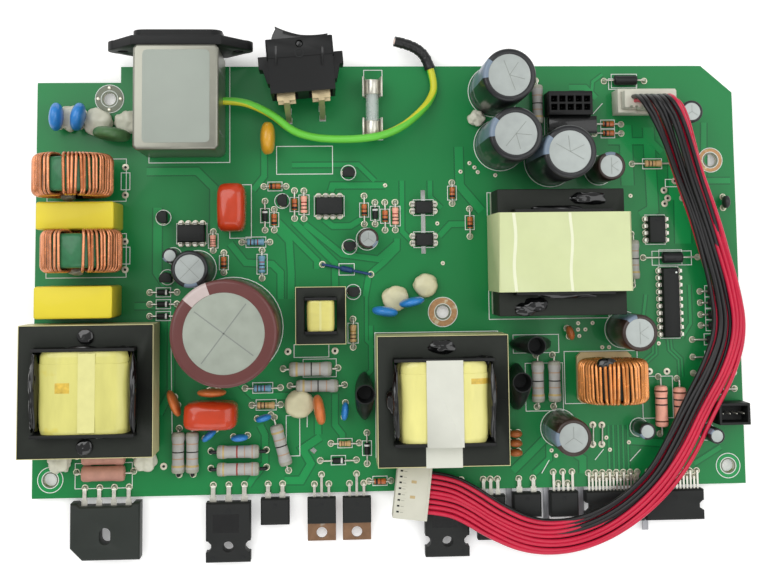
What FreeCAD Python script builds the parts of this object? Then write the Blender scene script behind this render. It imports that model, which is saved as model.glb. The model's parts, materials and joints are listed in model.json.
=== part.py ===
import FreeCAD, Part
import math
import os

# Mains power supply board with its parts fitted, in millimetres.
# The origin is midway between the two front corner holes, on the board's underside.
# +X runs along the long front edge, +Y to the inlet and switch, +Z out of the component side.

Vector = FreeCAD.Vector
ORIGIN = Vector(0, 0, 0)
X_AXIS = Vector(1, 0, 0)
Y_AXIS = Vector(0, 1, 0)
Z_AXIS = Vector(0, 0, 1)

# Board
BOARD_LENGTH = 254.0
BOARD_WIDTH = 152.4
BOARD_THICKNESS = 1.6
HOLE_INSET = 6.35
MOUNT_HOLE_DIAMETER = 4.5
NOTCH_LENGTH = 29.6
NOTCH_DEPTH = 5.8
CORNER_CUT_X = 11.5
CORNER_CUT_Y = 10.0
SLOT_WIDTH = 1.6
SLOT_LENGTH = 23.0
SMALL_SLOT_LENGTH = 5.2

LEFT = -BOARD_LENGTH / 2
RIGHT = BOARD_LENGTH / 2
FRONT = -HOLE_INSET
REAR = BOARD_WIDTH - HOLE_INSET
TOP = BOARD_THICKNESS

# Leads and the holes that they pass through
PIN_REACH = 2.0
PIN_CLEARANCE = 0.15
SMALL_LEAD = 0.6
SEAT_GAP = 0.05

# Inlet with its built-in filter
CAN_WIDTH = 28.8
CAN_LENGTH = 36.0
CAN_HEIGHT = 28.2
CAN_CORNER = 1.2
CAN_X = -74.3
CAN_OVERHANG = 3.0
INLET_SCREW_SPACING = 40.0
INLET_SCREW_DIAMETER = 3.5
FLANGE_THICKNESS = 3.2
FLANGE_HEIGHT = 27.0
FLANGE_EAR_RADIUS = 5.2
SHROUD_DEPTH = 2.4
SHROUD_WIDTH = 30.4
SHROUD_HEIGHT = 23.0
SHROUD_CORNER = 4.0
INLET_BODY_DEPTH = 14.0
INLET_BODY_WIDTH = 27.0
INLET_BODY_HEIGHT = 20.0
SOCKET_WIDTH = 24.4
SOCKET_HEIGHT = 16.9
SOCKET_CORNER_CUT = 5.0
SOCKET_DEPTH = 16.6
BLADE_PITCH = 14.0
BLADE_OFFSET = 2.0
BLADE_WIDTH = 4.0
BLADE_THICKNESS = 2.0
BLADE_LENGTH = 14.5
BLADE_ROOT = 2.0

# Rocker switch, placed by its pivot
SWITCH_X = -32.7
SWITCH_OVERHANG = 3.95
SWITCH_TURN = 4.6
SWITCH_Z = 16.0
COLLAR_WIDTH = 23.2
COLLAR_FRONT = 2.2
COLLAR_LENGTH = 6.6
COLLAR_STEP = 0.4
HOUSING_WIDTH = 22.4
HOUSING_HEIGHT = 19.0
HOUSING_LENGTH = 12.2
HOUSING_WALL = 1.4
HOUSING_CORNER = 0.6
LATCH_REACH = 3.2
LATCH_HEIGHT = 9.0
ROCKER_GAP = 0.35
ROCKER_TRAVEL = 24.0
ROCKER_END_ANGLE = 26.0
ROCKER_TIP_X = 9.4
ROCKER_TIP_Y = 5.3
ROCKER_VALLEY = 3.5
ROCKER_SKIRT = 1.5
CAVITY_FLOOR = -4.3
PIVOT_RADIUS = 1.2
PIVOT_PLAY = 0.08
PIVOT_RECESS = 0.4
TERMINAL_WIDTH = 6.3
TERMINAL_THICKNESS = 0.8
TERMINAL_PITCH_X = 12.2
TERMINAL_PITCH_Z = 9.0
TERMINAL_STEM = 2.0
TERMINAL_HEAD = 2.2
UPPER_TERMINAL_REACH = 6.9
LOWER_TERMINAL_REACH = 3.4
TERMINAL_POCKET = 1.8

# Fuse
FUSE_DIAMETER = 5.2
FUSE_LENGTH = 20.0
FUSE_CAP_LENGTH = 5.2
FUSE_CAP_WALL = 0.3
FUSE_GLASS_WALL = 0.7
FUSE_X = -6.9
FUSE_Y = 130.1
FUSE_Z = TOP + 5.0
CLIP_SHEET = 0.5
CLIP_LENGTH = 7.2

# Earth wire and harness
EARTH_WIRE_RADIUS = 1.4
SLEEVE_RADIUS = 2.1
BUNDLE_RADIUS = 2.5

# Common-mode chokes and the output choke
CHOKE_CORE_RADIUS = 12.6
CHOKE_CORE_BORE = 6.8
CHOKE_CORE_WIDTH = 11.8
CHOKE_WIRE = 0.95
CHOKE_TURNS_PER_SIDE = 14
CHOKE_TURN_STEP = 10.2
CHOKE_BASE_HEIGHT = 3.0
OUTPUT_CORE_RADIUS = 10.9
OUTPUT_CORE_BORE = 6.6
OUTPUT_CORE_WIDTH = 12.6
OUTPUT_WIRE = 1.2
OUTPUT_TURNS = 24
OUTPUT_TURN_STEP = 14.0
OUTPUT_BASE_HEIGHT = 2.0
RING_SIDES = 32

# Large ferrite cores: two E halves that meet halfway
CORE_WIDTH = 44.4
CORE_LENGTH = 43.6
CORE_HEIGHT = 15.0
CORE_YOKE = 7.2
CORE_OUTER_LEG = 5.2
CORE_CENTRE_LEG = 14.0
CORE_BOTTOM = 9.0
WINDING_DEPTH = 5.6
WINDING_CORNER = 3.0
BOBBIN_WALL = 1.0
BOBBIN_FLANGE = 1.0
RAIL_PIN_INSET = 3.0
TAPE_THICKNESS = 0.2
TAPE_WIDTH = 12.4

# Power devices that lie past the front edge
LEAD_PLANE = TOP + 0.9
LEAD_THICKNESS = 0.5
BRIDGE_WIDTH = 24.0
BRIDGE_LENGTH = 19.4
BRIDGE_THICKNESS = 6.4
BRIDGE_CORNER_CUT = 4.2
BRIDGE_SET_BACK = 1.2
BRIDGE_SLOT_WIDTH = 3.8
BRIDGE_SLOT_LENGTH = 5.7

drilled_holes = []


def block(x0, x1, y0, y1, z0, z1):
    """A box between two corners."""
    return Part.makeBox(x1 - x0, y1 - y0, z1 - z0, Vector(x0, y0, z0))


def centred_block(x, y, z0, length, width, height):
    """A box standing on z0 with its middle at x, y."""
    return block(x - length / 2, x + length / 2, y - width / 2, y + width / 2, z0, z0 + height)


def rod(centre, radius, length, axis=Z_AXIS):
    """A round rod that starts at centre."""
    return Part.makeCylinder(radius, length, centre, axis)


def outline_face(points):
    """A flat face with straight sides."""
    return Part.Face(Part.makePolygon(points + points[:1]))


def plate_xy(points, z0, height):
    """An outline in plan, raised from z0."""
    return outline_face([Vector(x, y, z0) for x, y in points]).extrude(Vector(0, 0, height))


def plate_xz(points, y0, depth):
    """An outline seen from the front, carried back from y0."""
    return outline_face([Vector(x, y0, z) for x, z in points]).extrude(Vector(0, depth, 0))


def turned(profile, centre=ORIGIN):
    """A round body from radius and height pairs, about the vertical through centre."""
    face = outline_face([Vector(radius, 0, height) for radius, height in profile])
    body = face.revolve(ORIGIN, Z_AXIS, 360)
    body.translate(centre)
    return body


def flat_sided(profile, sides=8, centre=ORIGIN):
    """A body with even flat sides about the vertical, from half-width and height pairs."""
    angles = [math.pi * (2 * index + 1) / sides for index in range(sides)]
    rings = []
    for half_width, height in profile:
        corner = half_width / math.cos(math.pi / sides)
        rings.append([Vector(corner * math.cos(a), corner * math.sin(a), height) for a in angles])
    faces = [outline_face(rings[0][::-1]), outline_face(rings[-1])]
    for lower, upper in zip(rings, rings[1:]):
        for index in range(sides):
            faces.append(outline_face([lower[index - 1], lower[index], upper[index], upper[index - 1]]))
    shell = Part.makeShell(faces)
    shell.sewShape()
    body = Part.makeSolid(shell)
    body.translate(centre)
    return body


def edges_along(solid, axis):
    """The straight edges that run along one axis."""
    along = []
    for edge in solid.Edges:
        run = edge.Vertexes[-1].Point - edge.Vertexes[0].Point
        if run.Length > 1e-6 and run.cross(axis).Length < 1e-6:
            along.append(edge)
    return along


def rounded(solid, radius, axis=Z_AXIS):
    """Rounds the edges that run along one axis."""
    return solid.makeFillet(radius, edges_along(solid, axis))


def bevelled(solid, size, axis=Z_AXIS):
    """Cuts flat bevels on the edges that run along one axis."""
    return solid.makeChamfer(size, edges_along(solid, axis))


def bevelled_rim(solid, size, height):
    """Cuts flat bevels round the top face at a height."""
    rim = [edge for edge in solid.Edges if min(v.Z for v in edge.Vertexes) > height - 1e-6]
    return solid.makeChamfer(size, rim)


def merged(shapes):
    """One solid from pieces that touch or overlap."""
    return shapes[0].fuse(shapes[1:]).removeSplitter()


def moved(shape, x, y, z=0.0, turn=0.0):
    """A copy turned about the vertical through the origin and then shifted."""
    result = shape.copy()
    result.rotate(ORIGIN, Z_AXIS, turn)
    result.translate(Vector(x, y, z))
    return result


def turned_point(x, y, turn, local_x, local_y):
    """Where a point of a turned component lands on the board."""
    angle = math.radians(turn)
    return (
        x + local_x * math.cos(angle) - local_y * math.sin(angle),
        y + local_x * math.sin(angle) + local_y * math.cos(angle),
    )


def drill(x, y, across):
    """Notes the plated hole for a pin."""
    drilled_holes.append((x, y, across + 2 * PIN_CLEARANCE))


def pin(x, y, z_top, across=0.9):
    """A square pin from z_top down through the board."""
    drill(x, y, across)
    return block(x - across / 2, x + across / 2, y - across / 2, y + across / 2, -PIN_REACH, z_top)


def bent_strip(points, thickness, width):
    """A strip of sheet along straight runs in the XZ plane, centred on y = 0."""
    half = thickness / 2
    normals = []
    for (x0, z0), (x1, z1) in zip(points, points[1:]):
        run = math.hypot(x1 - x0, z1 - z0)
        normals.append((-(z1 - z0) / run, (x1 - x0) / run))
    offsets = [normals[0]]
    for (ax, az), (bx, bz) in zip(normals, normals[1:]):
        scale = 1 + ax * bx + az * bz
        offsets.append(((ax + bx) / scale, (az + bz) / scale))
    offsets.append(normals[-1])
    one_side = [(x + half * nx, z + half * nz) for (x, z), (nx, nz) in zip(points, offsets)]
    other_side = [(x - half * nx, z - half * nz) for (x, z), (nx, nz) in zip(points, offsets)]
    return plate_xz(one_side + other_side[::-1], -width / 2, width)


def cord_tube(points, radius):
    """A round cord along straight runs, joined by arcs as large as the runs allow."""
    corners = [Vector(*point) for point in points]
    edges = []
    radii = []
    start = corners[0]
    for before, corner, after in zip(corners, corners[1:], corners[2:]):
        run_in = corner - before
        run_out = after - corner
        half_turn = run_in.getAngle(run_out) / 2
        cut = 0.45 * min(run_in.Length, run_out.Length)
        arc_radius = cut / math.tan(half_turn)
        run_in.normalize()
        run_out.normalize()
        inward = run_out - run_in
        inward.normalize()
        middle = corner + inward * (arc_radius / math.cos(half_turn) - arc_radius)
        arc_start = corner - run_in * cut
        arc_end = corner + run_out * cut
        edges.append(Part.LineSegment(start, arc_start).toShape())
        edges.append(Part.Arc(arc_start, middle, arc_end).toShape())
        radii.append(arc_radius)
        start = arc_end
    edges.append(Part.LineSegment(start, corners[-1]).toShape())
    path = Part.Wire(edges)
    section = Part.Wire([Part.makeCircle(radius, corners[0], corners[1] - corners[0])])
    tube = path.makePipeShell([section], True, True)
    filled = tube.Volume / (math.pi * radius**2 * path.Length)
    print("cord radii", [round(value, 1) for value in radii])
    print("cord length", round(path.Length, 1), "volume against section times length", round(filled, 4))
    return tube


def switch_place(shape):
    """Carries a piece from the switch's own frame, with the pivot at its origin, to the board."""
    return moved(shape, SWITCH_X, REAR + SWITCH_OVERHANG, SWITCH_Z, SWITCH_TURN)


def filter_can():
    """Drawn metal can of the inlet filter, with the mouth that the inlet body enters."""
    y_rear = REAR + CAN_OVERHANG
    can = centred_block(CAN_X, y_rear - CAN_LENGTH / 2, TOP, CAN_WIDTH, CAN_LENGTH, CAN_HEIGHT)
    can = bevelled_rim(bevelled(can, CAN_CORNER), CAN_CORNER / 2, TOP + CAN_HEIGHT)
    mouth = inlet_body_block(SEAT_GAP)
    return [can.cut(mouth)]


def inlet_body_block(growth):
    """The part of the inlet that sits inside the can."""
    y_rear = REAR + CAN_OVERHANG
    z_middle = TOP + CAN_HEIGHT / 2
    half_width = INLET_BODY_WIDTH / 2 + growth
    half_height = INLET_BODY_HEIGHT / 2 + growth
    return block(
        CAN_X - half_width, CAN_X + half_width,
        y_rear - INLET_BODY_DEPTH - growth, y_rear,
        z_middle - half_height, z_middle + half_height,
    )


def inlet_socket():
    """Moulded inlet: flange with two screw ears, raised rim and the keyed socket."""
    y_rear = REAR + CAN_OVERHANG
    z_middle = TOP + CAN_HEIGHT / 2
    ear_x = INLET_SCREW_SPACING / 2 + FLANGE_EAR_RADIUS * math.cos(math.radians(60))
    ear_z = FLANGE_EAR_RADIUS * math.sin(math.radians(60))
    half_width = SHROUD_WIDTH / 2
    half_height = FLANGE_HEIGHT / 2
    quarter = [(half_width, half_height), (ear_x, ear_z)]
    right = quarter + [(x, -z) for x, z in quarter[::-1]]
    outline = right + [(-x, z) for x, z in right[::-1]]
    outline = [(CAN_X + x, z_middle + z) for x, z in outline]
    flange = plate_xz(outline, y_rear, FLANGE_THICKNESS)
    y_face = y_rear + FLANGE_THICKNESS
    rim = block(
        CAN_X - half_width, CAN_X + half_width, y_face, y_face + SHROUD_DEPTH,
        z_middle - SHROUD_HEIGHT / 2, z_middle + SHROUD_HEIGHT / 2,
    )
    pieces = [flange, rounded(rim, SHROUD_CORNER, Y_AXIS), inlet_body_block(0)]
    holes = []
    for side in (-1, 1):
        ear = Vector(CAN_X + side * INLET_SCREW_SPACING / 2, y_rear, z_middle)
        pieces.append(rod(ear, FLANGE_EAR_RADIUS, FLANGE_THICKNESS, Y_AXIS))
        holes.append(rod(ear, INLET_SCREW_DIAMETER / 2, FLANGE_THICKNESS, Y_AXIS))
    socket = merged(pieces)
    x, z, cut = SOCKET_WIDTH / 2, SOCKET_HEIGHT / 2, SOCKET_CORNER_CUT
    well = [(-x, -z), (x, -z), (x, z - cut), (x - cut, z), (cut - x, z), (-x, z - cut)]
    well = [(CAN_X + px, z_middle + pz) for px, pz in well]
    y_floor = y_face + SHROUD_DEPTH - SOCKET_DEPTH
    holes.append(plate_xz(well, y_floor, SOCKET_DEPTH))
    holes += inlet_blades()
    return [socket.cut(holes)]


def inlet_blades():
    """Live, neutral and earth blades, rooted in the socket's floor."""
    y_floor = REAR + CAN_OVERHANG + FLANGE_THICKNESS + SHROUD_DEPTH - SOCKET_DEPTH
    z_middle = TOP + CAN_HEIGHT / 2
    blades = []
    for x, z in ((-BLADE_PITCH / 2, -BLADE_OFFSET), (BLADE_PITCH / 2, -BLADE_OFFSET), (0, BLADE_OFFSET)):
        blades.append(block(
            CAN_X + x - BLADE_THICKNESS / 2, CAN_X + x + BLADE_THICKNESS / 2,
            y_floor - BLADE_ROOT, y_floor - BLADE_ROOT + BLADE_LENGTH,
            z_middle + z - BLADE_WIDTH / 2, z_middle + z + BLADE_WIDTH / 2,
        ))
    return blades


def switch_housing():
    """Collar and body of the rocker switch, with side latches and terminal pockets."""
    half_height = HOUSING_HEIGHT / 2
    y_joint = COLLAR_FRONT - COLLAR_LENGTH
    y_back = y_joint - HOUSING_LENGTH
    collar = block(-COLLAR_WIDTH / 2, COLLAR_WIDTH / 2, y_joint, COLLAR_FRONT, -half_height, half_height)
    root = HOUSING_WIDTH / 2
    step = half_height - COLLAR_STEP
    body = block(-root, root, y_back, y_joint, -step, step)
    pieces = [bevelled(collar, HOUSING_CORNER, Y_AXIS), body]
    tip = COLLAR_WIDTH / 2 + LATCH_REACH
    for side in (-1, 1):
        latch = [
            (root, y_joint + 1.6), (tip, y_joint + 1.6), (tip, y_joint - 2.8), (tip - 1.3, y_joint - 2.8),
            (root + 0.9, y_joint - 8.0), (root, y_joint - 8.0),
        ]
        latch = [(side * x, y) for x, y in latch]
        pieces.append(plate_xy(latch, -LATCH_HEIGHT / 2, LATCH_HEIGHT))
    housing = merged(pieces)
    half_cavity = COLLAR_WIDTH / 2 - HOUSING_WALL
    deep = half_height - HOUSING_WALL
    cuts = [block(-half_cavity, half_cavity, CAVITY_FLOOR, COLLAR_FRONT, -deep, deep)]
    cuts.append(rod(Vector(0, 0, -half_height), PIVOT_RADIUS + PIVOT_PLAY, HOUSING_HEIGHT))
    for side in (-1, 1):
        x = side * TERMINAL_PITCH_X / 2
        wide = TERMINAL_WIDTH / 2 + 1.0
        cuts.append(block(x - wide, x + wide, y_back, y_back + TERMINAL_POCKET, -deep, deep))
    return [switch_place(housing.cut(cuts))]


def rocker_radius():
    """Radius of the rocker's end faces about its pivot."""
    return COLLAR_WIDTH / 2 - HOUSING_WALL - ROCKER_GAP


def switch_rocker():
    """Rocker with a shallow valley, end faces round about the pivot, and its two pivot pins."""
    radius = rocker_radius()
    skirt_x = math.sqrt(radius**2 - ROCKER_SKIRT**2)
    end = math.radians(ROCKER_END_ANGLE)
    arc_top = Vector(radius * math.cos(end), radius * math.sin(end), 0)
    skirt = Vector(skirt_x, -ROCKER_SKIRT, 0)
    tip = Vector(ROCKER_TIP_X, ROCKER_TIP_Y, 0)
    valley = Vector(0, ROCKER_VALLEY, 0)
    flank = Vector(ROCKER_TIP_X / 2, (ROCKER_TIP_Y + ROCKER_VALLEY) / 2 - 0.35, 0)

    def mirrored(point):
        return Vector(-point.x, point.y, point.z)

    edges = [
        Part.LineSegment(mirrored(skirt), skirt).toShape(),
        Part.Arc(skirt, Vector(radius, 0, 0), arc_top).toShape(),
        Part.LineSegment(arc_top, tip).toShape(),
        Part.Arc(tip, flank, valley).toShape(),
        Part.Arc(valley, mirrored(flank), mirrored(tip)).toShape(),
        Part.LineSegment(mirrored(tip), mirrored(arc_top)).toShape(),
        Part.Arc(mirrored(arc_top), Vector(-radius, 0, 0), mirrored(skirt)).toShape(),
    ]
    half_height = HOUSING_HEIGHT / 2 - HOUSING_WALL - ROCKER_GAP
    rocker = Part.Face(Part.Wire(edges)).extrude(Vector(0, 0, 2 * half_height))
    rocker.translate(Vector(0, 0, -half_height))
    pivot_half = HOUSING_HEIGHT / 2 - PIVOT_RECESS
    pivot = rod(Vector(0, 0, -pivot_half), PIVOT_RADIUS, 2 * pivot_half)
    rocker = merged([rocker, pivot])
    rocker.rotate(ORIGIN, Z_AXIS, -ROCKER_TRAVEL / 2)
    return [switch_place(rocker)]


def switch_terminals():
    """Four T-shaped tabs whose stems bend down through the board."""
    y_back = COLLAR_FRONT - COLLAR_LENGTH - HOUSING_LENGTH
    y_root = y_back + TERMINAL_POCKET
    tabs = []
    for side in (-1, 1):
        for row, reach in ((1, UPPER_TERMINAL_REACH), (-1, LOWER_TERMINAL_REACH)):
            x = side * TERMINAL_PITCH_X / 2
            z = row * TERMINAL_PITCH_Z / 2
            floor = TOP - SWITCH_Z
            head = block(
                -TERMINAL_WIDTH / 2, TERMINAL_WIDTH / 2, -TERMINAL_POCKET - TERMINAL_HEAD, 0,
                z - TERMINAL_THICKNESS / 2, z + TERMINAL_THICKNESS / 2,
            )
            start = TERMINAL_POCKET + TERMINAL_HEAD / 2
            pad = TERMINAL_POCKET + reach
            stem = bent_strip(
                [(start, z), (start + 1.6, z), (pad, floor + 2.0), (pad, -SWITCH_Z - PIN_REACH)],
                TERMINAL_THICKNESS, TERMINAL_STEM,
            )
            stem.rotate(ORIGIN, Z_AXIS, -90)
            tab = merged([head, stem])
            tab.translate(Vector(x, y_root, 0))
            tabs.append(switch_place(tab))
            pad_x, pad_y = turned_point(SWITCH_X, REAR + SWITCH_OVERHANG, SWITCH_TURN, x, y_root - pad)
            drill(pad_x, pad_y, TERMINAL_STEM)
    return tabs


def fuse_tube():
    """Glass tube of the fuse, between its caps."""
    length = FUSE_LENGTH - 2 * FUSE_CAP_LENGTH
    ends = [(FUSE_DIAMETER / 2 - FUSE_CAP_WALL, -length / 2), (FUSE_DIAMETER / 2 - FUSE_CAP_WALL, length / 2)]
    bore = [(radius - FUSE_GLASS_WALL, height) for radius, height in ends]
    return [fuse_place(flat_sided(ends, 12).cut(flat_sided(bore, 12)))]


def fuse_place(shape):
    """Lays a piece of the fuse down along Y in its clips."""
    shape.rotate(ORIGIN, X_AXIS, 90)
    return moved(shape, FUSE_X, FUSE_Y, FUSE_Z)


def fuse_caps():
    """Two end caps and the fuse wire between them."""
    inner = FUSE_LENGTH / 2 - FUSE_CAP_LENGTH
    radius = FUSE_DIAMETER / 2
    caps = [flat_sided([(radius, inner), (radius, FUSE_LENGTH / 2)], 12)]
    caps.append(flat_sided([(radius, -FUSE_LENGTH / 2), (radius, -inner)], 12))
    caps.append(centred_block(0, 0, -inner, 0.3, 0.3, 2 * inner))
    return [fuse_place(piece) for piece in caps]


def fuse_clips():
    """Two spring clips that hold the fuse by its caps."""
    arm = FUSE_DIAMETER / 2 + CLIP_SHEET / 2 + 0.02
    foot = TOP + CLIP_SHEET / 2
    half = [(1.6, foot), (arm, FUSE_Z - 1.4), (arm, FUSE_Z + 1.2), (arm + 0.6, FUSE_Z + 2.8)]
    profile = [(-x, z) for x, z in half[::-1]] + half
    offset = (FUSE_LENGTH - CLIP_LENGTH) / 2 + 1.0
    return [
        moved(bent_strip(profile, CLIP_SHEET, CLIP_LENGTH), FUSE_X, FUSE_Y + side * offset)
        for side in (-1, 1)
    ]


def box_capacitor(x, y, length, width, height, corner, pitch, pins):
    """A moulded or dipped box capacitor on two pins."""
    body = bevelled(centred_block(x, y, TOP, length, width, height), corner)
    for side in (-1, 1):
        if length > width:
            pins.append(pin(x + side * pitch / 2, y, TOP))
        else:
            pins.append(pin(x, y + side * pitch / 2, TOP))
    return bevelled_rim(body, corner * 0.8, TOP + height)


def can_capacitor(x, y, radius, height, sides=12):
    """A can standing on the board, its top edge rolled in on a large one."""
    profile = [(radius, 0), (radius, height)]
    if radius > LARGE_CAN_RADIUS:
        profile[1:] = [(radius, height - CAN_SHOULDER), (radius - CAN_SHOULDER, height)]
    return flat_sided(profile, sides, Vector(x, y, TOP))


def ring_choke(x, y, z_axis, core_radius, bore, width, wire, angles):
    """A ring core standing on edge, its axis along Y, and the square turns round it."""
    flat = core_radius * math.cos(math.pi / RING_SIDES)
    core = flat_sided([(flat, -width / 2), (flat, width / 2)], RING_SIDES)
    core = core.cut(flat_sided([(bore, -width / 2), (bore, width / 2)], RING_SIDES))
    core.rotate(ORIGIN, X_AXIS, 90)
    core.translate(Vector(x, y, z_axis))
    inner = block(
        bore - SEAT_GAP, core_radius + SEAT_GAP, -width / 2 - SEAT_GAP, width / 2 + SEAT_GAP,
        -wire / 2, wire / 2,
    )
    outer = block(
        bore - SEAT_GAP - wire, core_radius + SEAT_GAP + wire,
        -width / 2 - SEAT_GAP - wire, width / 2 + SEAT_GAP + wire, -wire / 2, wire / 2,
    )
    turn = outer.cut(inner)
    turns = []
    for angle in angles:
        copy = turn.copy()
        copy.rotate(ORIGIN, Y_AXIS, angle)
        copy.translate(Vector(x, y, z_axis))
        turns.append(copy)
    return core, turns


def half_core(width, length, height, yoke, outer_leg, centre_leg):
    """One E-shaped ferrite half, its three legs reaching back to y = 0."""
    x_out = width / 2
    x_in = x_out - outer_leg
    x_leg = centre_leg / 2
    y_in = length / 2 - yoke
    outline = [
        (-x_out, 0), (-x_in, 0), (-x_in, y_in), (-x_leg, y_in), (-x_leg, 0), (x_leg, 0),
        (x_leg, y_in), (x_in, y_in), (x_in, 0), (x_out, 0), (x_out, length / 2), (-x_out, length / 2),
    ]
    return plate_xy(outline, 0, height)


def wound_core(x, y, z_bottom, size, winding_depth, corner):
    """Two core halves, the bobbin with its rails, and the winding, as three lists of solids."""
    width, length, height, yoke, outer_leg, centre_leg = size
    back_half = half_core(width, length, height, yoke, outer_leg, centre_leg)
    front_half = back_half.copy()
    front_half.rotate(ORIGIN, Z_AXIS, 180)
    y_in = length / 2 - yoke
    x_in = width / 2 - outer_leg
    bore = centre_leg / 2 + SEAT_GAP
    tube_half = bore + BOBBIN_WALL
    y_end = y_in - SEAT_GAP
    skin = SEAT_GAP + BOBBIN_WALL
    pieces = [block(-tube_half, tube_half, -y_end, y_end, -skin, height + skin)]
    flange_x = x_in - SEAT_GAP
    for side in (-1, 1):
        y_pair = sorted((side * y_end, side * (y_end - BOBBIN_FLANGE)))
        flange = block(-flange_x, flange_x, *y_pair, -winding_depth, height + winding_depth)
        y_rail = sorted((side * (y_end - BOBBIN_FLANGE), side * length / 2))
        rail = block(-width / 2 + 0.6, width / 2 - 0.6, *y_rail, TOP - z_bottom, 0)
        pieces += [flange, rail]
    leg_hole = block(-bore, bore, -y_in, y_in, -SEAT_GAP, height + SEAT_GAP)
    bobbin = merged(pieces).cut(leg_hole)
    wound_x = x_in - 0.12 * (x_in - tube_half) - 0.5
    y_wound = y_end - BOBBIN_FLANGE - SEAT_GAP
    depth = winding_depth - 0.2
    winding = block(-wound_x, wound_x, -y_wound, y_wound, -depth, height + depth)
    winding = bevelled(winding, corner, Y_AXIS)
    hole_x = tube_half + SEAT_GAP
    hole_z = BOBBIN_WALL + 2 * SEAT_GAP
    winding = winding.cut(block(-hole_x, hole_x, -y_wound, y_wound, -hole_z, height + hole_z))
    core = [moved(half, x, y, z_bottom) for half in (back_half, front_half)]
    return core, [moved(bobbin, x, y, z_bottom)], [moved(winding, x, y, z_bottom)]


def rail_pins(x, y, length, yoke, width, count, pins, across=0.9):
    """Rows of pins under the two rails of a bobbin."""
    row_length = width - 2 * RAIL_PIN_INSET
    for side in (-1, 1):
        for index in range(count):
            along = row_length * (index / (count - 1) - 0.5)
            pins.append(pin(x + along, y + side * (length - yoke) / 2, TOP, across))


def axial(start, end, body_length, radius, height, leads, sides=6):
    """An axial body lying between two pads, its leads running down to the board."""
    (x0, y0), (x1, y1) = start, end
    x, y = (x0 + x1) / 2, (y0 + y1) / 2
    turn = math.degrees(math.atan2(y1 - y0, x1 - x0))
    span = math.hypot(x1 - x0, y1 - y0) / 2
    half = body_length / 2
    body = flat_sided([(radius, -half), (radius, half)], sides)
    body.rotate(ORIGIN, Y_AXIS, 90)
    thick = SMALL_LEAD / 2
    for side in (-1, 1):
        run = [(half, height - thick), (half, height + thick), (span + thick, 0), (span - thick, 0)]
        run = [(side * along, z) for along, z in run]
        leads.append(moved(plate_xz(run, -thick, SMALL_LEAD), x, y, TOP, turn))
    return moved(body, x, y, TOP + height, turn)


def disc_part(x, y, turn, radius, thickness, lift, leads, pitch=5.0):
    """A dipped disc standing on edge above its two leads."""
    half = thickness / 2
    disc = flat_sided([(0.6 * radius, -half), (radius, 0), (0.6 * radius, half)])
    disc.rotate(ORIGIN, X_AXIS, 90)
    disc.translate(Vector(0, 0, lift + radius))
    for side in (-1, 1):
        lead = centred_block(side * pitch / 2, 0, 0, SMALL_LEAD, SMALL_LEAD, lift + radius)
        leads.append(moved(lead.cut(disc), x, y, TOP, turn))
    return moved(disc, x, y, TOP, turn)


def dual_in_line(x, y, turn, per_side, width, row_spacing, leads, pitch=2.54, height=3.4):
    """A moulded body with a notch at one end and a row of bent legs on each side."""
    length = per_side * pitch - 0.3
    base = 0.6
    body = centred_block(0, 0, base, length, width, height)
    notch = block(-length / 2, 0.9 - length / 2, -0.9, 0.9, base + height - 0.8, base + height)
    leg_length = row_spacing / 2 + 0.15 - width / 2
    for side in (-1, 1):
        for index in range(per_side):
            along = (index - (per_side - 1) / 2) * pitch
            across = side * (width + leg_length) / 2
            leg = centred_block(along, across, 0, 1.1, leg_length, base + height / 2)
            leads.append(moved(leg, x, y, TOP, turn))
    return moved(body.cut(notch), x, y, TOP, turn)


def small_transistor(x, y, turn, leads):
    """A moulded body with one flat side, standing on three leads."""
    lift = 1.8
    angles = [math.radians(-33 + 41 * index) for index in range(7)]
    outline = [(2.35 * math.cos(angle), 2.35 * math.sin(angle)) for angle in angles]
    for offset in (-1.27, 0, 1.27):
        lead = centred_block(offset, 0.4, 0, 0.45, 0.45, lift)
        leads.append(moved(lead, x, y, TOP, turn))
    return moved(plate_xy(outline, lift, 4.8), x, y, TOP, turn)


def edge_lead(x, y_body, pad_y, width, through, leads):
    """A flat lead from a device past the front edge straight back to its pad."""
    reach = pad_y - y_body
    end = -PIN_REACH if through else TOP
    run = [(0, LEAD_PLANE), (reach, LEAD_PLANE), (reach, end)]
    lead = bent_strip(run, LEAD_THICKNESS, width)
    lead.rotate(ORIGIN, Z_AXIS, 90)
    lead.translate(Vector(x, y_body, 0))
    leads.append(lead)
    if through:
        drill(x, pad_y, width)


def bridge_body(x, y_near, z_back):
    """Rectifier bridge with one far corner cut off, its near edge set back between two ears."""
    half = BRIDGE_WIDTH / 2
    y_far = y_near - BRIDGE_LENGTH
    y_set_back = y_near - BRIDGE_SET_BACK
    right = [(x + half, y_near), (x + half - 2.2, y_near), (x + half - 3.4, y_set_back)]
    left = [(x - half + 3.4, y_set_back), (x - half + 2.2, y_near), (x - half, y_near)]
    far = [(x - half, y_far + BRIDGE_CORNER_CUT), (x - half + BRIDGE_CORNER_CUT, y_far), (x + half, y_far)]
    body = plate_xy(right + left + far, z_back, BRIDGE_THICKNESS)
    body = bevelled_rim(body, 0.6, z_back + BRIDGE_THICKNESS)
    slot_y = y_near - BRIDGE_LENGTH * 0.58
    straight = BRIDGE_SLOT_LENGTH - BRIDGE_SLOT_WIDTH
    slot = [centred_block(x, slot_y, z_back, BRIDGE_SLOT_WIDTH, straight, BRIDGE_THICKNESS)]
    for side in (-1, 1):
        end = Vector(x, slot_y + side * straight / 2, z_back)
        slot.append(rod(end, BRIDGE_SLOT_WIDTH / 2, BRIDGE_THICKNESS))
    return body.cut(merged(slot))


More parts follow.
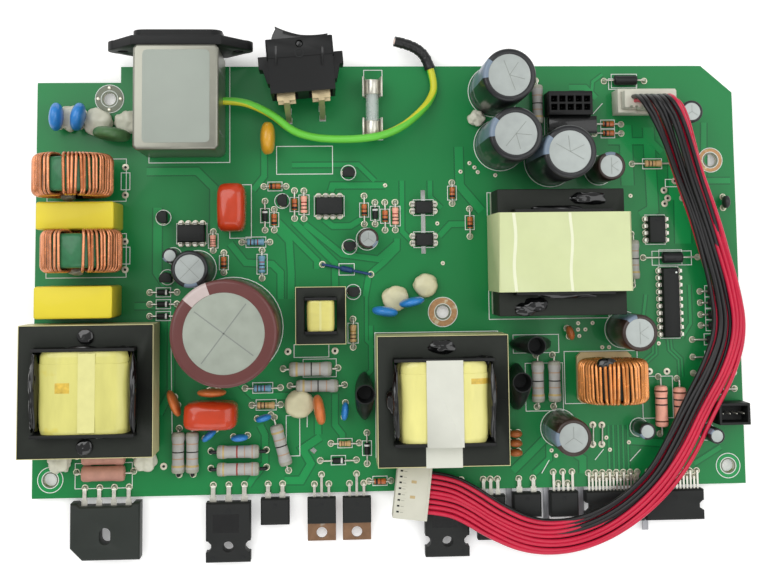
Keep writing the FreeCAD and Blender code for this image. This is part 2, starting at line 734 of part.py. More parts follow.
def edge_package(x, y_near, width, length, thickness, back_z, hole=None, notches=None):
    """A moulded package lying flat past the edge, with its screw hole and side notches."""
    half = width / 2
    y_far = y_near - length
    outline = [(x - half, y_near), (x - half, y_far), (x + half, y_far), (x + half, y_near)]
    body = plate_xy(outline, back_z, thickness)
    cuts = []
    if hole:
        hole_y, diameter = hole
        cuts.append(rod(Vector(x, hole_y, back_z), diameter / 2, thickness))
    for notch_x, notch_y, radius in notches or []:
        cuts.append(flat_sided([(radius, 0), (radius, thickness)], 8, Vector(notch_x, notch_y, back_z)))
    body = bevelled_rim(body, thickness * 0.12, back_z + thickness)
    return body.cut(cuts) if cuts else body


def sleeve_boot(x, y, turn, length, mouth_offset, mouth_radius, height):
    """A black shrink boot over a part, its open mouth turned up."""
    waist = height * 0.55
    skirt = flat_sided([(mouth_radius * 0.62, 0), (mouth_radius, waist)], 10)
    skirt.translate(Vector(mouth_offset, 0, 0))
    foot = centred_block(0, 0, 0, length, mouth_radius * 1.2, waist * 0.7)
    tube = flat_sided([(mouth_radius, waist), (mouth_radius, height)], 10, Vector(mouth_offset, 0, 0))
    bore = [(mouth_radius - 0.5, waist), (mouth_radius - 0.5, height)]
    boot = merged([skirt, foot, tube]).cut(flat_sided(bore, 10, Vector(mouth_offset, 0, 0)))
    return moved(boot, x, y, TOP, turn)


def dab(x, y, radius, height, z=TOP):
    """A low dome of set compound."""
    profile = [(radius, 0), (0.85 * radius, 0.6 * height), (0.45 * radius, height)]
    return flat_sided(profile, 8, Vector(x, y, z))


# Places of the fitted parts, worked out from the edges they belong to
BOOST_X = LEFT + 22.5
BOOST_Y = 32.6
MAIN_X = 15.6
MAIN_Y = 27.4
OUTPUT_X = 57.4
OUTPUT_Y = 77.4
LARGE_CORE = (CORE_WIDTH, CORE_LENGTH, CORE_HEIGHT, CORE_YOKE, CORE_OUTER_LEG, CORE_CENTRE_LEG)
DRIVER_X = -25.9
DRIVER_Y = 56.2
DRIVER_CORE = (17.2, 19.6, 5.0, 3.4, 3.0, 4.6)
DRIVER_CORE_BOTTOM = TOP + 5.0
DRIVER_WINDING_DEPTH = 3.2
X2_SIZE = (26.4, 19.0)
X2_X = (-109.7, -109.4)
X2_WIDTHS = (11.0, 9.6)
X2_GAP = 2.2
X2_TO_CHOKE = 17.4
CHOKE_TO_X2 = 12.1
X2_TO_REAR_CHOKE = 13.8
FRONT_X2_Y = BOOST_Y + CORE_LENGTH / 2 + X2_GAP + X2_WIDTHS[0] / 2
FRONT_CHOKE_Y = FRONT_X2_Y + X2_TO_CHOKE
REAR_X2_Y = FRONT_CHOKE_Y + CHOKE_TO_X2
CHOKE_X = (-110.6, -107.4)
CHOKE_Y = (REAR_X2_Y + X2_TO_REAR_CHOKE, FRONT_CHOKE_Y)
OUTPUT_CHOKE_X = 76.0
OUTPUT_CHOKE_Y = 32.4
BULK_X = -57.2
BULK_Y = 52.0
BULK_RADIUS = 17.5
BULK_HEIGHT = 39.0
LARGE_CAN_RADIUS = 9.0
CAN_SHOULDER = 0.9
EDGE_GAP = 1.3


def filter_parts(nodes, pins):
    """Inlet, can, blades and the pins that solder the can down."""
    nodes["filter_can"] = filter_can()
    nodes["inlet_socket"] = inlet_socket()
    nodes["inlet_blades"] = inlet_blades()
    for x in (CAN_X - 11, CAN_X + 11):
        for y in (REAR - 8.0, REAR - 28.0):
            pins.append(pin(x, y, TOP, 1.2))


def choke_parts(nodes, pins):
    """Two common-mode chokes in the mains filter and the choke at the output."""
    cores, turns, bases = [], [], []
    axis_z = TOP + CHOKE_BASE_HEIGHT + CHOKE_CORE_RADIUS + CHOKE_WIRE + 2 * SEAT_GAP
    spread = (CHOKE_TURNS_PER_SIDE - 1) * CHOKE_TURN_STEP / 2
    angles = []
    for middle in (0, 180):
        angles += [middle - spread + index * CHOKE_TURN_STEP for index in range(CHOKE_TURNS_PER_SIDE)]
    for x, y in zip(CHOKE_X, CHOKE_Y):
        core, wound = ring_choke(
            x, y, axis_z, CHOKE_CORE_RADIUS, CHOKE_CORE_BORE, CHOKE_CORE_WIDTH, CHOKE_WIRE, angles
        )
        cores.append(core)
        turns += wound
        base = bevelled(centred_block(x, y, TOP, 19.0, 12.6, CHOKE_BASE_HEIGHT), 1.0)
        saddle_half = CHOKE_CORE_WIDTH / 2 + CHOKE_WIRE + 0.2
        rail = block(x - 3.0, x + 3.0, y - saddle_half, y + saddle_half, TOP, axis_z - CHOKE_CORE_RADIUS)
        slot = rod(Vector(x, y - saddle_half, axis_z), CHOKE_CORE_RADIUS, 2 * saddle_half, Y_AXIS)
        bases.append(merged([base, rail]).cut(slot))
        for side_x in (-1, 1):
            for side_y in (-1, 1):
                pins.append(pin(x + side_x * 7.5, y + side_y * 4.6, TOP))
    nodes["choke_cores"] = cores
    nodes["choke_windings"] = turns
    nodes["choke_bases"] = bases
    output_z = TOP + OUTPUT_BASE_HEIGHT + OUTPUT_CORE_RADIUS + OUTPUT_WIRE + 2 * SEAT_GAP
    first = -(OUTPUT_TURNS - 1) * OUTPUT_TURN_STEP / 2 - 90
    angles = [first + index * OUTPUT_TURN_STEP for index in range(OUTPUT_TURNS)]
    core, wound = ring_choke(
        OUTPUT_CHOKE_X, OUTPUT_CHOKE_Y, output_z,
        OUTPUT_CORE_RADIUS, OUTPUT_CORE_BORE, OUTPUT_CORE_WIDTH, OUTPUT_WIRE, angles,
    )
    nodes["output_choke_core"] = [core]
    nodes["output_choke_winding"] = wound
    base = centred_block(OUTPUT_CHOKE_X, OUTPUT_CHOKE_Y, TOP, 20.0, 18.2, OUTPUT_BASE_HEIGHT)
    nodes["output_choke_base"] = [bevelled(base, 1.5)]
    for side_x in (-1, 1):
        for side_y in (-1, 1):
            pins.append(pin(OUTPUT_CHOKE_X + side_x * 8.0, OUTPUT_CHOKE_Y + side_y * 7.2, TOP))


def magnetics(nodes, pins):
    """Boost choke, main, output and driver transformers."""
    places = (
        ("boost_choke", BOOST_X, BOOST_Y), ("main_transformer", MAIN_X, MAIN_Y),
        ("output_transformer", OUTPUT_X, OUTPUT_Y),
    )
    for name, x, y in places:
        core, bobbin, winding = wound_core(x, y, CORE_BOTTOM, LARGE_CORE, WINDING_DEPTH, WINDING_CORNER)
        nodes[name + "_core"] = core
        nodes[name + "_bobbin"] = bobbin
        nodes[name + "_winding"] = winding
        rail_pins(x, y, CORE_LENGTH, CORE_YOKE, CORE_WIDTH, 4, pins)
    core, bobbin, winding = wound_core(
        DRIVER_X, DRIVER_Y, DRIVER_CORE_BOTTOM, DRIVER_CORE, DRIVER_WINDING_DEPTH, 1.0
    )
    nodes["driver_transformer_core"] = core
    nodes["driver_transformer_bobbin"] = bobbin
    nodes["driver_transformer_winding"] = winding
    rail_pins(DRIVER_X, DRIVER_Y, DRIVER_CORE[1], DRIVER_CORE[3], DRIVER_CORE[0], 2, pins, 0.7)
    nodes["transformer_tapes"] = transformer_tapes()


def transformer_tapes():
    """The tapes that hold the core halves together, the main transformer's strip and the output's band."""
    core_top = CORE_BOTTOM + CORE_HEIGHT
    wound_top = core_top + WINDING_DEPTH
    y_in = CORE_LENGTH / 2 - CORE_YOKE
    y_front = CORE_LENGTH / 2 + 1.5 * TAPE_THICKNESS + 2 * SEAT_GAP
    gap = TAPE_THICKNESS / 2 + 0.02
    run = [
        (-y_in + 0.6, wound_top + gap), (y_in + gap, wound_top + gap), (y_in + gap + 0.6, core_top + gap),
        (y_front, core_top + gap), (y_front, core_top - 9.0),
    ]
    strip = bent_strip(run, TAPE_THICKNESS, TAPE_WIDTH)
    strip.rotate(ORIGIN, Z_AXIS, -90)
    strip.translate(Vector(MAIN_X, MAIN_Y, 0))
    wall = 0.7
    x_half = CORE_WIDTH / 2 + SEAT_GAP
    y_half = y_in - BOBBIN_FLANGE - 2 * SEAT_GAP
    z_low = CORE_BOTTOM - WINDING_DEPTH - SEAT_GAP
    z_high = core_top + WINDING_DEPTH + SEAT_GAP
    band = block(-x_half - wall, x_half + wall, -y_half, y_half, z_low - wall, z_high + wall)
    band = bevelled(band, wall, Y_AXIS).cut(block(-x_half, x_half, -y_half, y_half, z_low, z_high))
    band.translate(Vector(OUTPUT_X, OUTPUT_Y, 0))
    return [
        strip, band, core_wrap(BOOST_X, BOOST_Y, CORE_BOTTOM, LARGE_CORE),
        core_wrap(MAIN_X, MAIN_Y, CORE_BOTTOM, LARGE_CORE),
        core_wrap(DRIVER_X, DRIVER_Y, DRIVER_CORE_BOTTOM, DRIVER_CORE),
    ]


def core_wrap(x, y, z_bottom, size):
    """One layer of tape round the outside of a pair of core halves."""
    width, length, height = size[:3]
    inner = centred_block(x, y, z_bottom, width + 2 * SEAT_GAP, length + 2 * SEAT_GAP, height)
    grown = 2 * (SEAT_GAP + TAPE_THICKNESS)
    return centred_block(x, y, z_bottom, width + grown, length + grown, height).cut(inner)


def capacitors(nodes, pins, leads):
    """Box, can and disc capacitors, and the other dipped discs."""
    x2_length, x2_height = X2_SIZE
    nodes["x2_capacitors"] = [
        box_capacitor(x, y, x2_length, width, x2_height, 0.6, 22.5, pins)
        for x, y, width in zip(X2_X, (FRONT_X2_Y, REAR_X2_Y), X2_WIDTHS)
    ]
    nodes["film_capacitors"] = [
        box_capacitor(-57.0, 94.4, 9.8, 17.0, 15.0, 1.6, 12.5, pins),
        box_capacitor(-64.2, 22.3, 18.2, 9.6, 15.0, 1.6, 15.0, pins),
    ]
    nodes["bulk_capacitor"] = [can_capacitor(BULK_X, BULK_Y, BULK_RADIUS, BULK_HEIGHT, 36)]
    for side in (-1, 1):
        pins.append(pin(BULK_X + side * 5.0, BULK_Y, TOP, 1.2))
    cans = ((38.0, REAR - 9.4, 9.1, 37.5), (39.8, REAR - 29.2, 9.1, 37.5), (58.2, REAR - 35.2, 9.1, 36.3))
    nodes["output_capacitors"] = [can_capacitor(x, y, r, h, 24) for x, y, r, h in cans]
    small = (
        (83.6, 49.3, 6.3, 23.5), (59.3, 14.6, 6.3, 25.5), (-69.7, 72.9, 6.3, 26.0), (76.2, 107.3, 5.0, 20.0),
        (107.4, 127.2, 4.0, 14.0), (-78.3, 77.7, 2.6, 11.0), (-9.0, 83.0, 3.6, 12.0),
        (88.4, 14.3, 2.9, 12.0), (RIGHT - 13.8, 12.2, 2.7, 12.0),
    )
    nodes["small_capacitors"] = [can_capacitor(x, y, r, h) for x, y, r, h in small]
    for x, y, radius, _ in cans + small:
        if radius > 4.5:
            pins += [pin(x + side * 0.4 * radius, y, TOP, 0.8) for side in (-1, 1)]
    blue = (
        (-118.6, 127.0, 88, 5.0, 4.6, 2.4), (-111.0, 127.0, 80, 5.0, 4.8, 2.4),
        (-65.1, 14.9, 40, 3.0, 2.4, 1.8), (-54.5, 13.9, 5, 3.0, 2.4, 1.8),
        (-46.2, 20.5, 15, 2.8, 2.4, 1.8), (-17.6, 22.4, 84, 3.2, 2.6, 1.8),
        (-3.2, 57.2, -8, 4.6, 3.6, 2.0), (6.4, 60.4, 12, 4.6, 3.2, 2.0),
    )
    nodes["disc_capacitors_blue"] = [disc_part(*row, leads) for row in blue]
    brown = (
        (-77.1, 26.5, 112, 4.8, 3.0, 2.0), (-64.0, 29.9, 0, 5.0, 2.8, 2.0), (63.4, 48.6, 105, 2.6, 2.6, 1.6),
        (42.9, 13.3, 0, 2.4, 2.6, 1.4), (42.9, 10.0, 0, 2.4, 2.6, 1.4), (42.9, 6.7, 0, 2.4, 2.6, 1.4),
    )
    nodes["disc_capacitors_brown"] = [disc_part(*row, leads, pitch=3.0) for row in brown]
    surge = (
        (-44.3, 119.0, 90, 5.8, 5.2, 2.0), (-99.0, 120.6, -8, 6.6, 4.8, 2.2),
        (-26.6, 23.4, 100, 5.2, 3.8, 2.0), (RIGHT - 4.8, 95.2, 90, 2.3, 2.6, 1.4),
    )
    nodes["surge_discs"] = [disc_part(*row, leads, pitch=4.0) for row in surge]


def resistors_and_diodes(nodes, leads):
    """Axial parts, each between its two pads."""
    power = (
        ((-111.6, 2.5), (-91.8, 2.5), 15.0, 2.7), ((-111.6, 8.0), (-91.8, 8.0), 15.0, 2.6),
        ((96.0, 32.2), (96.0, 11.8), 14.6, 2.25), ((102.8, 31.4), (102.8, 11.2), 14.6, 2.25),
        ((-76.0, 17.0), (-76.0, 1.0), 14.2, 2.25), ((-71.1, 17.0), (-71.1, 1.0), 14.2, 2.25),
        ((-64.9, 8.9), (-45.4, 8.9), 14.8, 2.3), ((-64.9, 2.9), (-45.4, 2.9), 14.8, 2.3),
        ((-42.6, 20.2), (-37.6, 1.6), 14.6, 2.25),
        ((-39.4, 37.2), (-19.9, 37.2), 15.2, 2.5), ((-37.0, 31.2), (-17.6, 31.2), 15.0, 2.2),
        ((51.5, 40.6), (51.5, 22.2), 14.6, 2.25), ((57.5, 40.6), (57.5, 22.2), 14.6, 2.25),
        ((87.6, 83.9), (87.6, 65.2), 14.2, 2.0), ((53.6, REAR - 5.4), (53.6, REAR - 23.8), 14.4, 2.0),
    )
    nodes["power_resistors"] = [
        axial(start, end, length, radius, radius + 1.0, leads, 8) for start, end, length, radius in power
    ]
    small = (
        ((-64.2, 86.2), (-64.2, 79.5)), ((-54.0, 82.3), (-44.0, 82.3)), ((-46.8, 79.4), (-46.8, 69.4)),
        ((-31.7, 100.6), (-31.7, 90.6)), ((1.2, 96.2), (1.2, 86.2)), ((-14.4, 54.4), (-14.4, 44.4)),
        ((-52.9, 30.6), (-40.4, 30.6)), ((-50.5, 24.6), (-40.4, 24.6)), ((88.7, 109.6), (103.7, 109.6)),
        ((91.8, 75.2), (112.0, 75.2)), ((79.1, 140.4), (94.1, 140.4)),
    )
    lengths = (4.2, 6.2, 6.2, 6.2, 6.2, 6.2, 6.2, 6.2, 6.2, 7.6, 8.6)
    radii = (1.1, 1.2, 1.2, 1.2, 1.2, 1.2, 1.2, 1.2, 1.2, 2.0, 1.8)
    nodes["small_resistors"] = [
        axial(start, end, length, radius, radius + 0.3, leads)
        for (start, end), length, radius in zip(small, lengths, radii)
    ]
    glass = (
        ((-46.1, 102.3), (-38.1, 102.3)), ((-45.7, 97.0), (-45.7, 86.6)), ((-42.4, 94.0), (-42.4, 86.6)),
        ((-35.1, 100.7), (-35.1, 90.7)), ((-60.4, 78.6), (-60.4, 71.6)), ((-10.0, 98.6), (-10.0, 88.4)),
        ((-6.1, 96.2), (-6.1, 88.4)), ((-2.5, 96.2), (-2.5, 86.2)), ((-25.2, 74.1), (-7.8, 70.3)),
        ((22.0, 103.2), (22.0, 95.6)), ((28.3, 93.6), (28.3, 83.6)), ((-22.6, 10.7), (-12.6, 10.7)),
        ((-26.4, 4.8), (-13.6, 4.8)), ((-9.8, 14.2), (-9.8, 3.4)), ((-9.2, -2.7), (-1.4, -2.7)),
        ((75.0, 124.3), (85.0, 124.3)), ((75.0, 120.9), (85.0, 120.9)),
        ((-86.6, 64.8), (-77.0, 64.8)), ((-86.6, 60.6), (-77.0, 60.6)), ((-86.6, 56.4), (-77.0, 56.4)),
    )
    rectifiers = [((112.4, y), (122.2, y)) for y in (62.7, 58.6, 54.3, 50.4)]
    rectifiers += [((109.0, y), (124.0, y)) for y in (45.3, 39.0, 33.2, 27.4)]
    nodes["diodes"] = [axial(start, end, 4.2, 1.0, 1.3, leads) for start, end in glass]
    nodes["diodes"] += [axial(start, end, 5.2, 1.35, 1.6, leads) for start, end in rectifiers]


def packages(nodes, leads):
    """Moulded circuits and small transistors on the board."""
    nodes["ic_packages"] = [
        dual_in_line(-71.8, 85.6, 0, 4, 6.4, 7.62, leads),
        dual_in_line(-22.6, 95.0, 0, 4, 6.4, 7.62, leads),
        dual_in_line(96.5, 85.4, 90, 4, 6.4, 7.62, leads),
        dual_in_line(100.9, 58.9, 90, 10, 6.4, 7.62, leads),
        dual_in_line(11.5, 94.2, 90, 2, 6.4, 9.2, leads),
        dual_in_line(11.5, 82.6, 90, 2, 6.4, 9.2, leads),
        centred_block(65.7, REAR - 22.6, TOP, 17.4, 6.3, 7.0),
    ]
    transistors = (
        (-81.4, 91.4, 90), (-15.6, 106.6, 0), (-39.0, 97.0, 90), (-15.4, 80.8, 180), (-14.2, 64.6, 180),
        (-80.4, 69.6, 0),
    )
    nodes["small_transistors"] = [small_transistor(*row, leads) for row in transistors]
    boots = (
        (-10.7, 27.4, 90, 17.0, -2.8, 3.2, 15.0), (49.4, 44.7, 0, 15.0, 3.0, 3.1, 13.0),
        (44.0, 29.8, 90, 17.0, 0.6, 3.3, 15.0),
    )
    nodes["sleeve_boots"] = [sleeve_boot(*row) for row in boots]


def edge_devices(nodes, leads):
    """Rectifiers, transistors and driver circuits that lie past the front edge."""
    y_near = FRONT - EDGE_GAP
    pad_y = FRONT + 3.45
    back = LEAD_PLANE - 3.2
    bridge_x = LEFT + 26.0
    nodes["bridge_rectifier"] = [bridge_body(bridge_x, y_near, back)]
    for offset in (-7.62, -2.54, 2.54, 7.62):
        edge_lead(bridge_x + offset, y_near - BRIDGE_SET_BACK, pad_y, 1.2, True, leads)
    nodes["power_transistors"] = []
    for x in (-58.6, 18.2):
        y_body = y_near - 0.9
        notches = [(x + side * 7.8, y_body - 15.0, 1.9) for side in (-1, 1)]
        nodes["power_transistors"].append(edge_package(
            x, y_body, 15.6, 20.4, 5.0, LEAD_PLANE - 2.4, hole=(y_body - 15.0, 3.6), notches=notches,
        ))
        for offset in (-5.45, 0, 5.45):
            edge_lead(x + offset, y_body, pad_y, 1.4, True, leads)
    nodes["switching_transistors"] = []
    nodes["switching_transistor_tabs"] = []
    tab_back = LEAD_PLANE - 2.5
    for x in (-26.0, -13.6):
        body = edge_package(x, y_near, 10.0, 9.0, 3.1, tab_back + 1.3)
        nodes["switching_transistors"].append(body)
        tab = block(x - 5.0, x + 5.0, y_near - 15.4, y_near - 0.4, tab_back, tab_back + 1.3)
        nodes["switching_transistor_tabs"].append(
            tab.cut(rod(Vector(x, y_near - 12.6, tab_back), 1.85, 1.3))
        )
        for offset, row_y in ((-2.54, pad_y - 0.4), (0, pad_y + 2.9), (2.54, pad_y - 0.4)):
            edge_lead(x + offset, y_near, row_y, 0.8, True, leads)
    flat_back = LEAD_PLANE - 2.3
    nodes["edge_rectifiers"] = [
        edge_package(-42.3, y_near, 10.1, 9.0, 4.4, flat_back),
        edge_package(34.1, y_near - 0.6, 10.0, 15.4, 4.4, flat_back, hole=(y_near - 13.2, 3.2)),
        edge_package(46.9, y_near, 10.1, 8.4, 4.4, flat_back),
        edge_package(60.2, y_near + 0.2, 10.1, 8.8, 4.4, flat_back),
    ]
    for x in (-42.3, 46.9):
        for offset in (-2.54, 2.54):
            edge_lead(x + offset, y_near, pad_y, 1.2, True, leads)
    for offset in (-2.54, 0, 2.54):
        edge_lead(34.1 + offset, y_near - 0.6, pad_y, 1.0, True, leads)
    for index in range(5):
        x = 60.2 + (index - 2) * 1.7
        row_y = pad_y + 2.0 if index % 2 == 0 else pad_y - 2.0
        edge_lead(x, y_near + 0.2, row_y, 0.8, True, leads)
    nodes["driver_ics"] = []
    for x, notch_side in ((78.4, -1), (100.1, 1)):
        notches = [(x + notch_side * 10.6, y_near - 5.6, 1.7)]
        nodes["driver_ics"].append(edge_package(x, y_near, 21.2, 10.6, 4.3, flat_back, notches=notches))
        for index in range(15):
            lead_x = x + (index - 7) * 1.27
            row_y = pad_y + 1.4 if index % 2 == 0 else pad_y - 0.6
            edge_lead(lead_x, y_near, row_y, 0.6, False, leads)
    clamp = [block(38.0, 92.4, FRONT + 10.0, FRONT + 14.0, -0.8, 0)]
    for x, reach in ((41.0, 13.0), (54.4, 13.0), (67.0, 13.0), (90.2, 16.0)):
        clamp.append(block(x - 1.1, x + 1.1, FRONT - reach, FRONT + 10.5, -0.8, 0))
    nodes["device_clamp"] = [merged(clamp)]


# Connectors
BLACK_HEADER_X = 64.6
BLACK_HEADER_Y = REAR - 14.9
WHITE_HEADER_X = 92.5
WHITE_HEADER_Y = REAR - 14.2
PLUG_LENGTH = 18.8
PLUG_WIDTH = 6.2
PLUG_HEIGHT = 12.0
HEADER_WALL = 1.2
HEADER_HEIGHT = 9.0
HEADER_FLOOR = 2.0
CONTACT_PITCH = 2.0
CONTACTS_PER_ROW = 8
FREE_PLUG_X = 5.6
FREE_PLUG_Y = -5.2
FREE_PLUG_TURN = -7.0
FREE_PLUG_Z = 5.15
SIDE_HEADER_X = RIGHT - 6.2
SIDE_HEADER_Y = 19.4


def wire_plug():
    """A plug whose wires leave the top, with a slot for each wire along one side."""
    body = centred_block(0, 0, 0, PLUG_LENGTH, PLUG_WIDTH, PLUG_HEIGHT)
    cuts = [centred_block(0, 0, 0, PLUG_LENGTH - 2 * HEADER_WALL, 2 * CONTACT_PITCH, 6.0)]
    for index in range(CONTACTS_PER_ROW):
        x = (index - (CONTACTS_PER_ROW - 1) / 2) * CONTACT_PITCH
        cuts.append(centred_block(x, -PLUG_WIDTH / 2, PLUG_HEIGHT - 4.0, 1.2, 1.4, 4.0))
    return body.cut(cuts)


def connectors(nodes):
    """Headers on the board and the two plugs of the harness."""
    header_pins = []
    black = centred_block(BLACK_HEADER_X, BLACK_HEADER_Y, TOP, 16.0, 8.6, HEADER_HEIGHT)
    cuts = []
    for index in range(5):
        for row in (-1, 1):
            x = BLACK_HEADER_X + (index - 2) * 3.0
            y = BLACK_HEADER_Y + row * 1.5
            cuts.append(centred_block(x, y, TOP + HEADER_FLOOR, 2.2, 2.2, HEADER_HEIGHT))
            header_pins.append(centred_block(x, y, TOP + HEADER_FLOOR, SMALL_LEAD, SMALL_LEAD, 5.5))
    black = black.cut(cuts)
    long_side = PLUG_LENGTH + 2 * SEAT_GAP
    short_side = PLUG_WIDTH + 2 * SEAT_GAP
    frame_long = long_side + 2 * HEADER_WALL
    frame_short = short_side + 2 * HEADER_WALL
    x, y = WHITE_HEADER_X, WHITE_HEADER_Y
    white = centred_block(x, y, TOP, frame_long, frame_short, HEADER_HEIGHT)
    well = centred_block(x, y, TOP + HEADER_FLOOR, long_side, short_side, HEADER_HEIGHT)
    window = centred_block(x, y - short_side / 2, TOP + HEADER_HEIGHT - 4.0, 8.0, 4.0, 4.0)
    white = white.cut([well, window])
    for index in range(CONTACTS_PER_ROW):
        for row in (-1, 1):
            x = WHITE_HEADER_X + (index - (CONTACTS_PER_ROW - 1) / 2) * CONTACT_PITCH
            y = WHITE_HEADER_Y + row * CONTACT_PITCH / 2
            header_pins.append(centred_block(x, y, TOP + HEADER_FLOOR, 0.5, 0.5, 5.0))
    side = centred_block(SIDE_HEADER_X, SIDE_HEADER_Y, TOP, 11.2, 7.6, HEADER_HEIGHT)
    side = side.cut(centred_block(SIDE_HEADER_X, SIDE_HEADER_Y, TOP + HEADER_FLOOR, 9.4, 5.8, HEADER_HEIGHT))
    for index in range(4):
        x = SIDE_HEADER_X + (index - 1.5) * 2.5
        header_pins.append(centred_block(x, SIDE_HEADER_Y, TOP + HEADER_FLOOR, SMALL_LEAD, SMALL_LEAD, 5.5))
    nodes["board_headers"] = [black, white, side]
    nodes["header_pins"] = header_pins
    fitted = moved(wire_plug(), WHITE_HEADER_X, WHITE_HEADER_Y, TOP + HEADER_FLOOR)
    loose = wire_plug()
    loose.rotate(ORIGIN, Y_AXIS, 90)
    loose.rotate(ORIGIN, X_AXIS, 90)
    loose.translate(Vector(-PLUG_HEIGHT / 2, 0, PLUG_WIDTH / 2))
    free = moved(loose, FREE_PLUG_X, FREE_PLUG_Y, FREE_PLUG_Z, FREE_PLUG_TURN)
    nodes["harness_plugs"] = [fitted, free]


# Routes of the free wires, chosen by hand from the photograph
EARTH_ROUTE = (
    (-59.9, 132.2, 10.6), (-53.9, 132.2, 10.6), (-47.6, 130.0, 10.0), (-41.4, 126.6, 9.4),
    (-35.8, 121.6, 8.8), (-28.6, 119.2, 8.8), (-20.4, 118.4, 9.8), (-11.8, 118.3, 11.6),
    (-3.2, 119.4, 12.0), (4.2, 123.0, 10.0), (10.0, 128.0, 7.2), (14.2, 132.8, 5.0), (16.4, 138.6, 3.75),
    (14.5, 144.6, 3.75),
)
SLEEVE_ROUTE = (
    (14.5, 144.6, 3.75), (13.14, 148.89, 3.75), (9.9, 152.1, 4.2), (5.2, 153.9, 4.9), (1.4, 154.6, 5.5),
)
BLACK_ROUTE = (
    (89.3, 131.85, 15.6), (89.3, 131.85, 21.2), (91.0, 128.0, 25.2), (94.2, 121.6, 24.4),
    (98.6, 113.2, 19.4), (103.2, 103.4, 14.6), (108.4, 91.6, 11.6), (112.6, 78.0, 10.2), (116.2, 64.2, 9.9),
    (117.9, 49.6, 9.8), (113.0, 36.4, 9.8), (105.3, 23.4, 9.8), (98.4, 10.6, 9.8), (91.2, -0.9, 9.6),
    (80.6, -10.4, 9.2), (69.6, -16.6, 8.8), (58.0, -19.6, 8.6), (46.6, -18.8, 8.6), (36.0, -13.8, 8.4),
    (26.8, -7.6, 8.3), (18.92, -3.41, 8.25), (11.97, -2.56, 8.25),
)
RED_ROUTE = (
    (95.7, 131.85, 15.6), (95.7, 131.85, 21.4), (97.7, 128.0, 25.6), (100.5, 121.8, 25.2),
    (104.6, 112.6, 20.4), (109.0, 102.6, 15.4), (113.9, 90.8, 12.2), (118.1, 77.6, 10.6), (121.5, 63.8, 10.1),
    (123.3, 49.0, 10.0), (118.6, 34.6, 10.0), (110.4, 20.8, 10.0), (103.6, 7.0, 10.0), (95.2, -4.8, 9.8),
    (84.0, -15.0, 9.4), (72.0, -21.9, 9.0), (58.6, -25.3, 8.8), (45.2, -24.2, 8.8), (33.4, -18.6, 8.8),
    (24.6, -12.9, 8.4), (18.09, -10.16, 8.25), (11.14, -9.31, 8.25),
)


def wires(nodes):
    """The earth wire with its sleeve, and the two bundles of the harness."""
    nodes["earth_wire"] = [cord_tube(EARTH_ROUTE, EARTH_WIRE_RADIUS)]
    nodes["earth_wire_sleeve"] = [cord_tube(SLEEVE_ROUTE, SLEEVE_RADIUS)]
    nodes["harness_black"] = [cord_tube(BLACK_ROUTE, BUNDLE_RADIUS)]
    nodes["harness_red"] = [cord_tube(RED_ROUTE, BUNDLE_RADIUS)]


def compound_dabs(nodes):
    """White and cream silicone and the black glue on the cores, trimmed to what they touch."""
    core_top = CORE_BOTTOM + CORE_HEIGHT
    yoke_y = (CORE_LENGTH - CORE_YOKE) / 2
    dabs = [
        dab(-114.9, 127.2, 4.4, 5.0), dab(-105.0, 125.6, 4.8, 5.0), dab(-94.4, 125.6, 4.2, 4.5),
        dab(-117.0, 6.6, 3.8, 4.0), dab(-87.6, 6.6, 3.8, 4.0), dab(-33.6, 25.0, 5.0, 6.0),
        dab(0.8, 61.6, 4.6, 4.0), dab(11.8, 66.2, 4.2, 4.5), dab(31.2, 126.6, 2.9, 4.0),
        dab(BOOST_X, BOOST_Y + yoke_y, 2.6, 1.2, core_top),
        dab(BOOST_X, BOOST_Y - yoke_y, 2.6, 1.2, core_top),
    ]
    neighbours = (
        "disc_capacitors_blue", "surge_discs", "power_resistors", "component_leads", "boost_choke_bobbin",
        "filter_can", "output_capacitors",
    )
    near = [solid for name in neighbours for solid in nodes[name]]
    trimmed = []
    for piece in dabs:
        reach = piece.BoundBox
        touching = [solid for solid in near if solid.BoundBox.intersect(reach)]
        if touching:
            piece = piece.cut(touching)
        trimmed.append(max(piece.Solids, key=lambda solid: solid.Volume))
    nodes["compound_dabs"] = trimmed


def circuit_board():
    """Bare board with its cut outline, mounting holes, slots and plated holes."""
    outline = [
        (LEFT, FRONT), (RIGHT, FRONT), (RIGHT, REAR - CORNER_CUT_Y), (RIGHT - CORNER_CUT_X, REAR),
        (LEFT + NOTCH_LENGTH, REAR), (LEFT + NOTCH_LENGTH, REAR - NOTCH_DEPTH), (LEFT, REAR - NOTCH_DEPTH),
    ]
    board = plate_xy(outline, 0, BOARD_THICKNESS)
    mounts = (
        (LEFT + HOLE_INSET, FRONT + HOLE_INSET), (RIGHT - HOLE_INSET, FRONT + HOLE_INSET),
        (LEFT + 25.6, REAR - 11.7), (RIGHT - 9.0, REAR - 35.2), (18.0, 56.5),
    )
    cuts = [rod(Vector(x, y, 0), MOUNT_HOLE_DIAMETER / 2, BOARD_THICKNESS) for x, y in mounts]
    slot_y = REAR - 57.0
    cuts.append(centred_block(11.4, slot_y, 0, SLOT_WIDTH, SLOT_LENGTH, BOARD_THICKNESS))
    small_slot = centred_block(0, 0, 0, SMALL_SLOT_LENGTH, SLOT_WIDTH, BOARD_THICKNESS)
    cuts.append(moved(small_slot, -30.0, 9.4, 0, -42))
    cuts += [centred_block(x, y, 0, across, across, BOARD_THICKNESS) for x, y, across in drilled_holes]
    return [board.cut(cuts)]


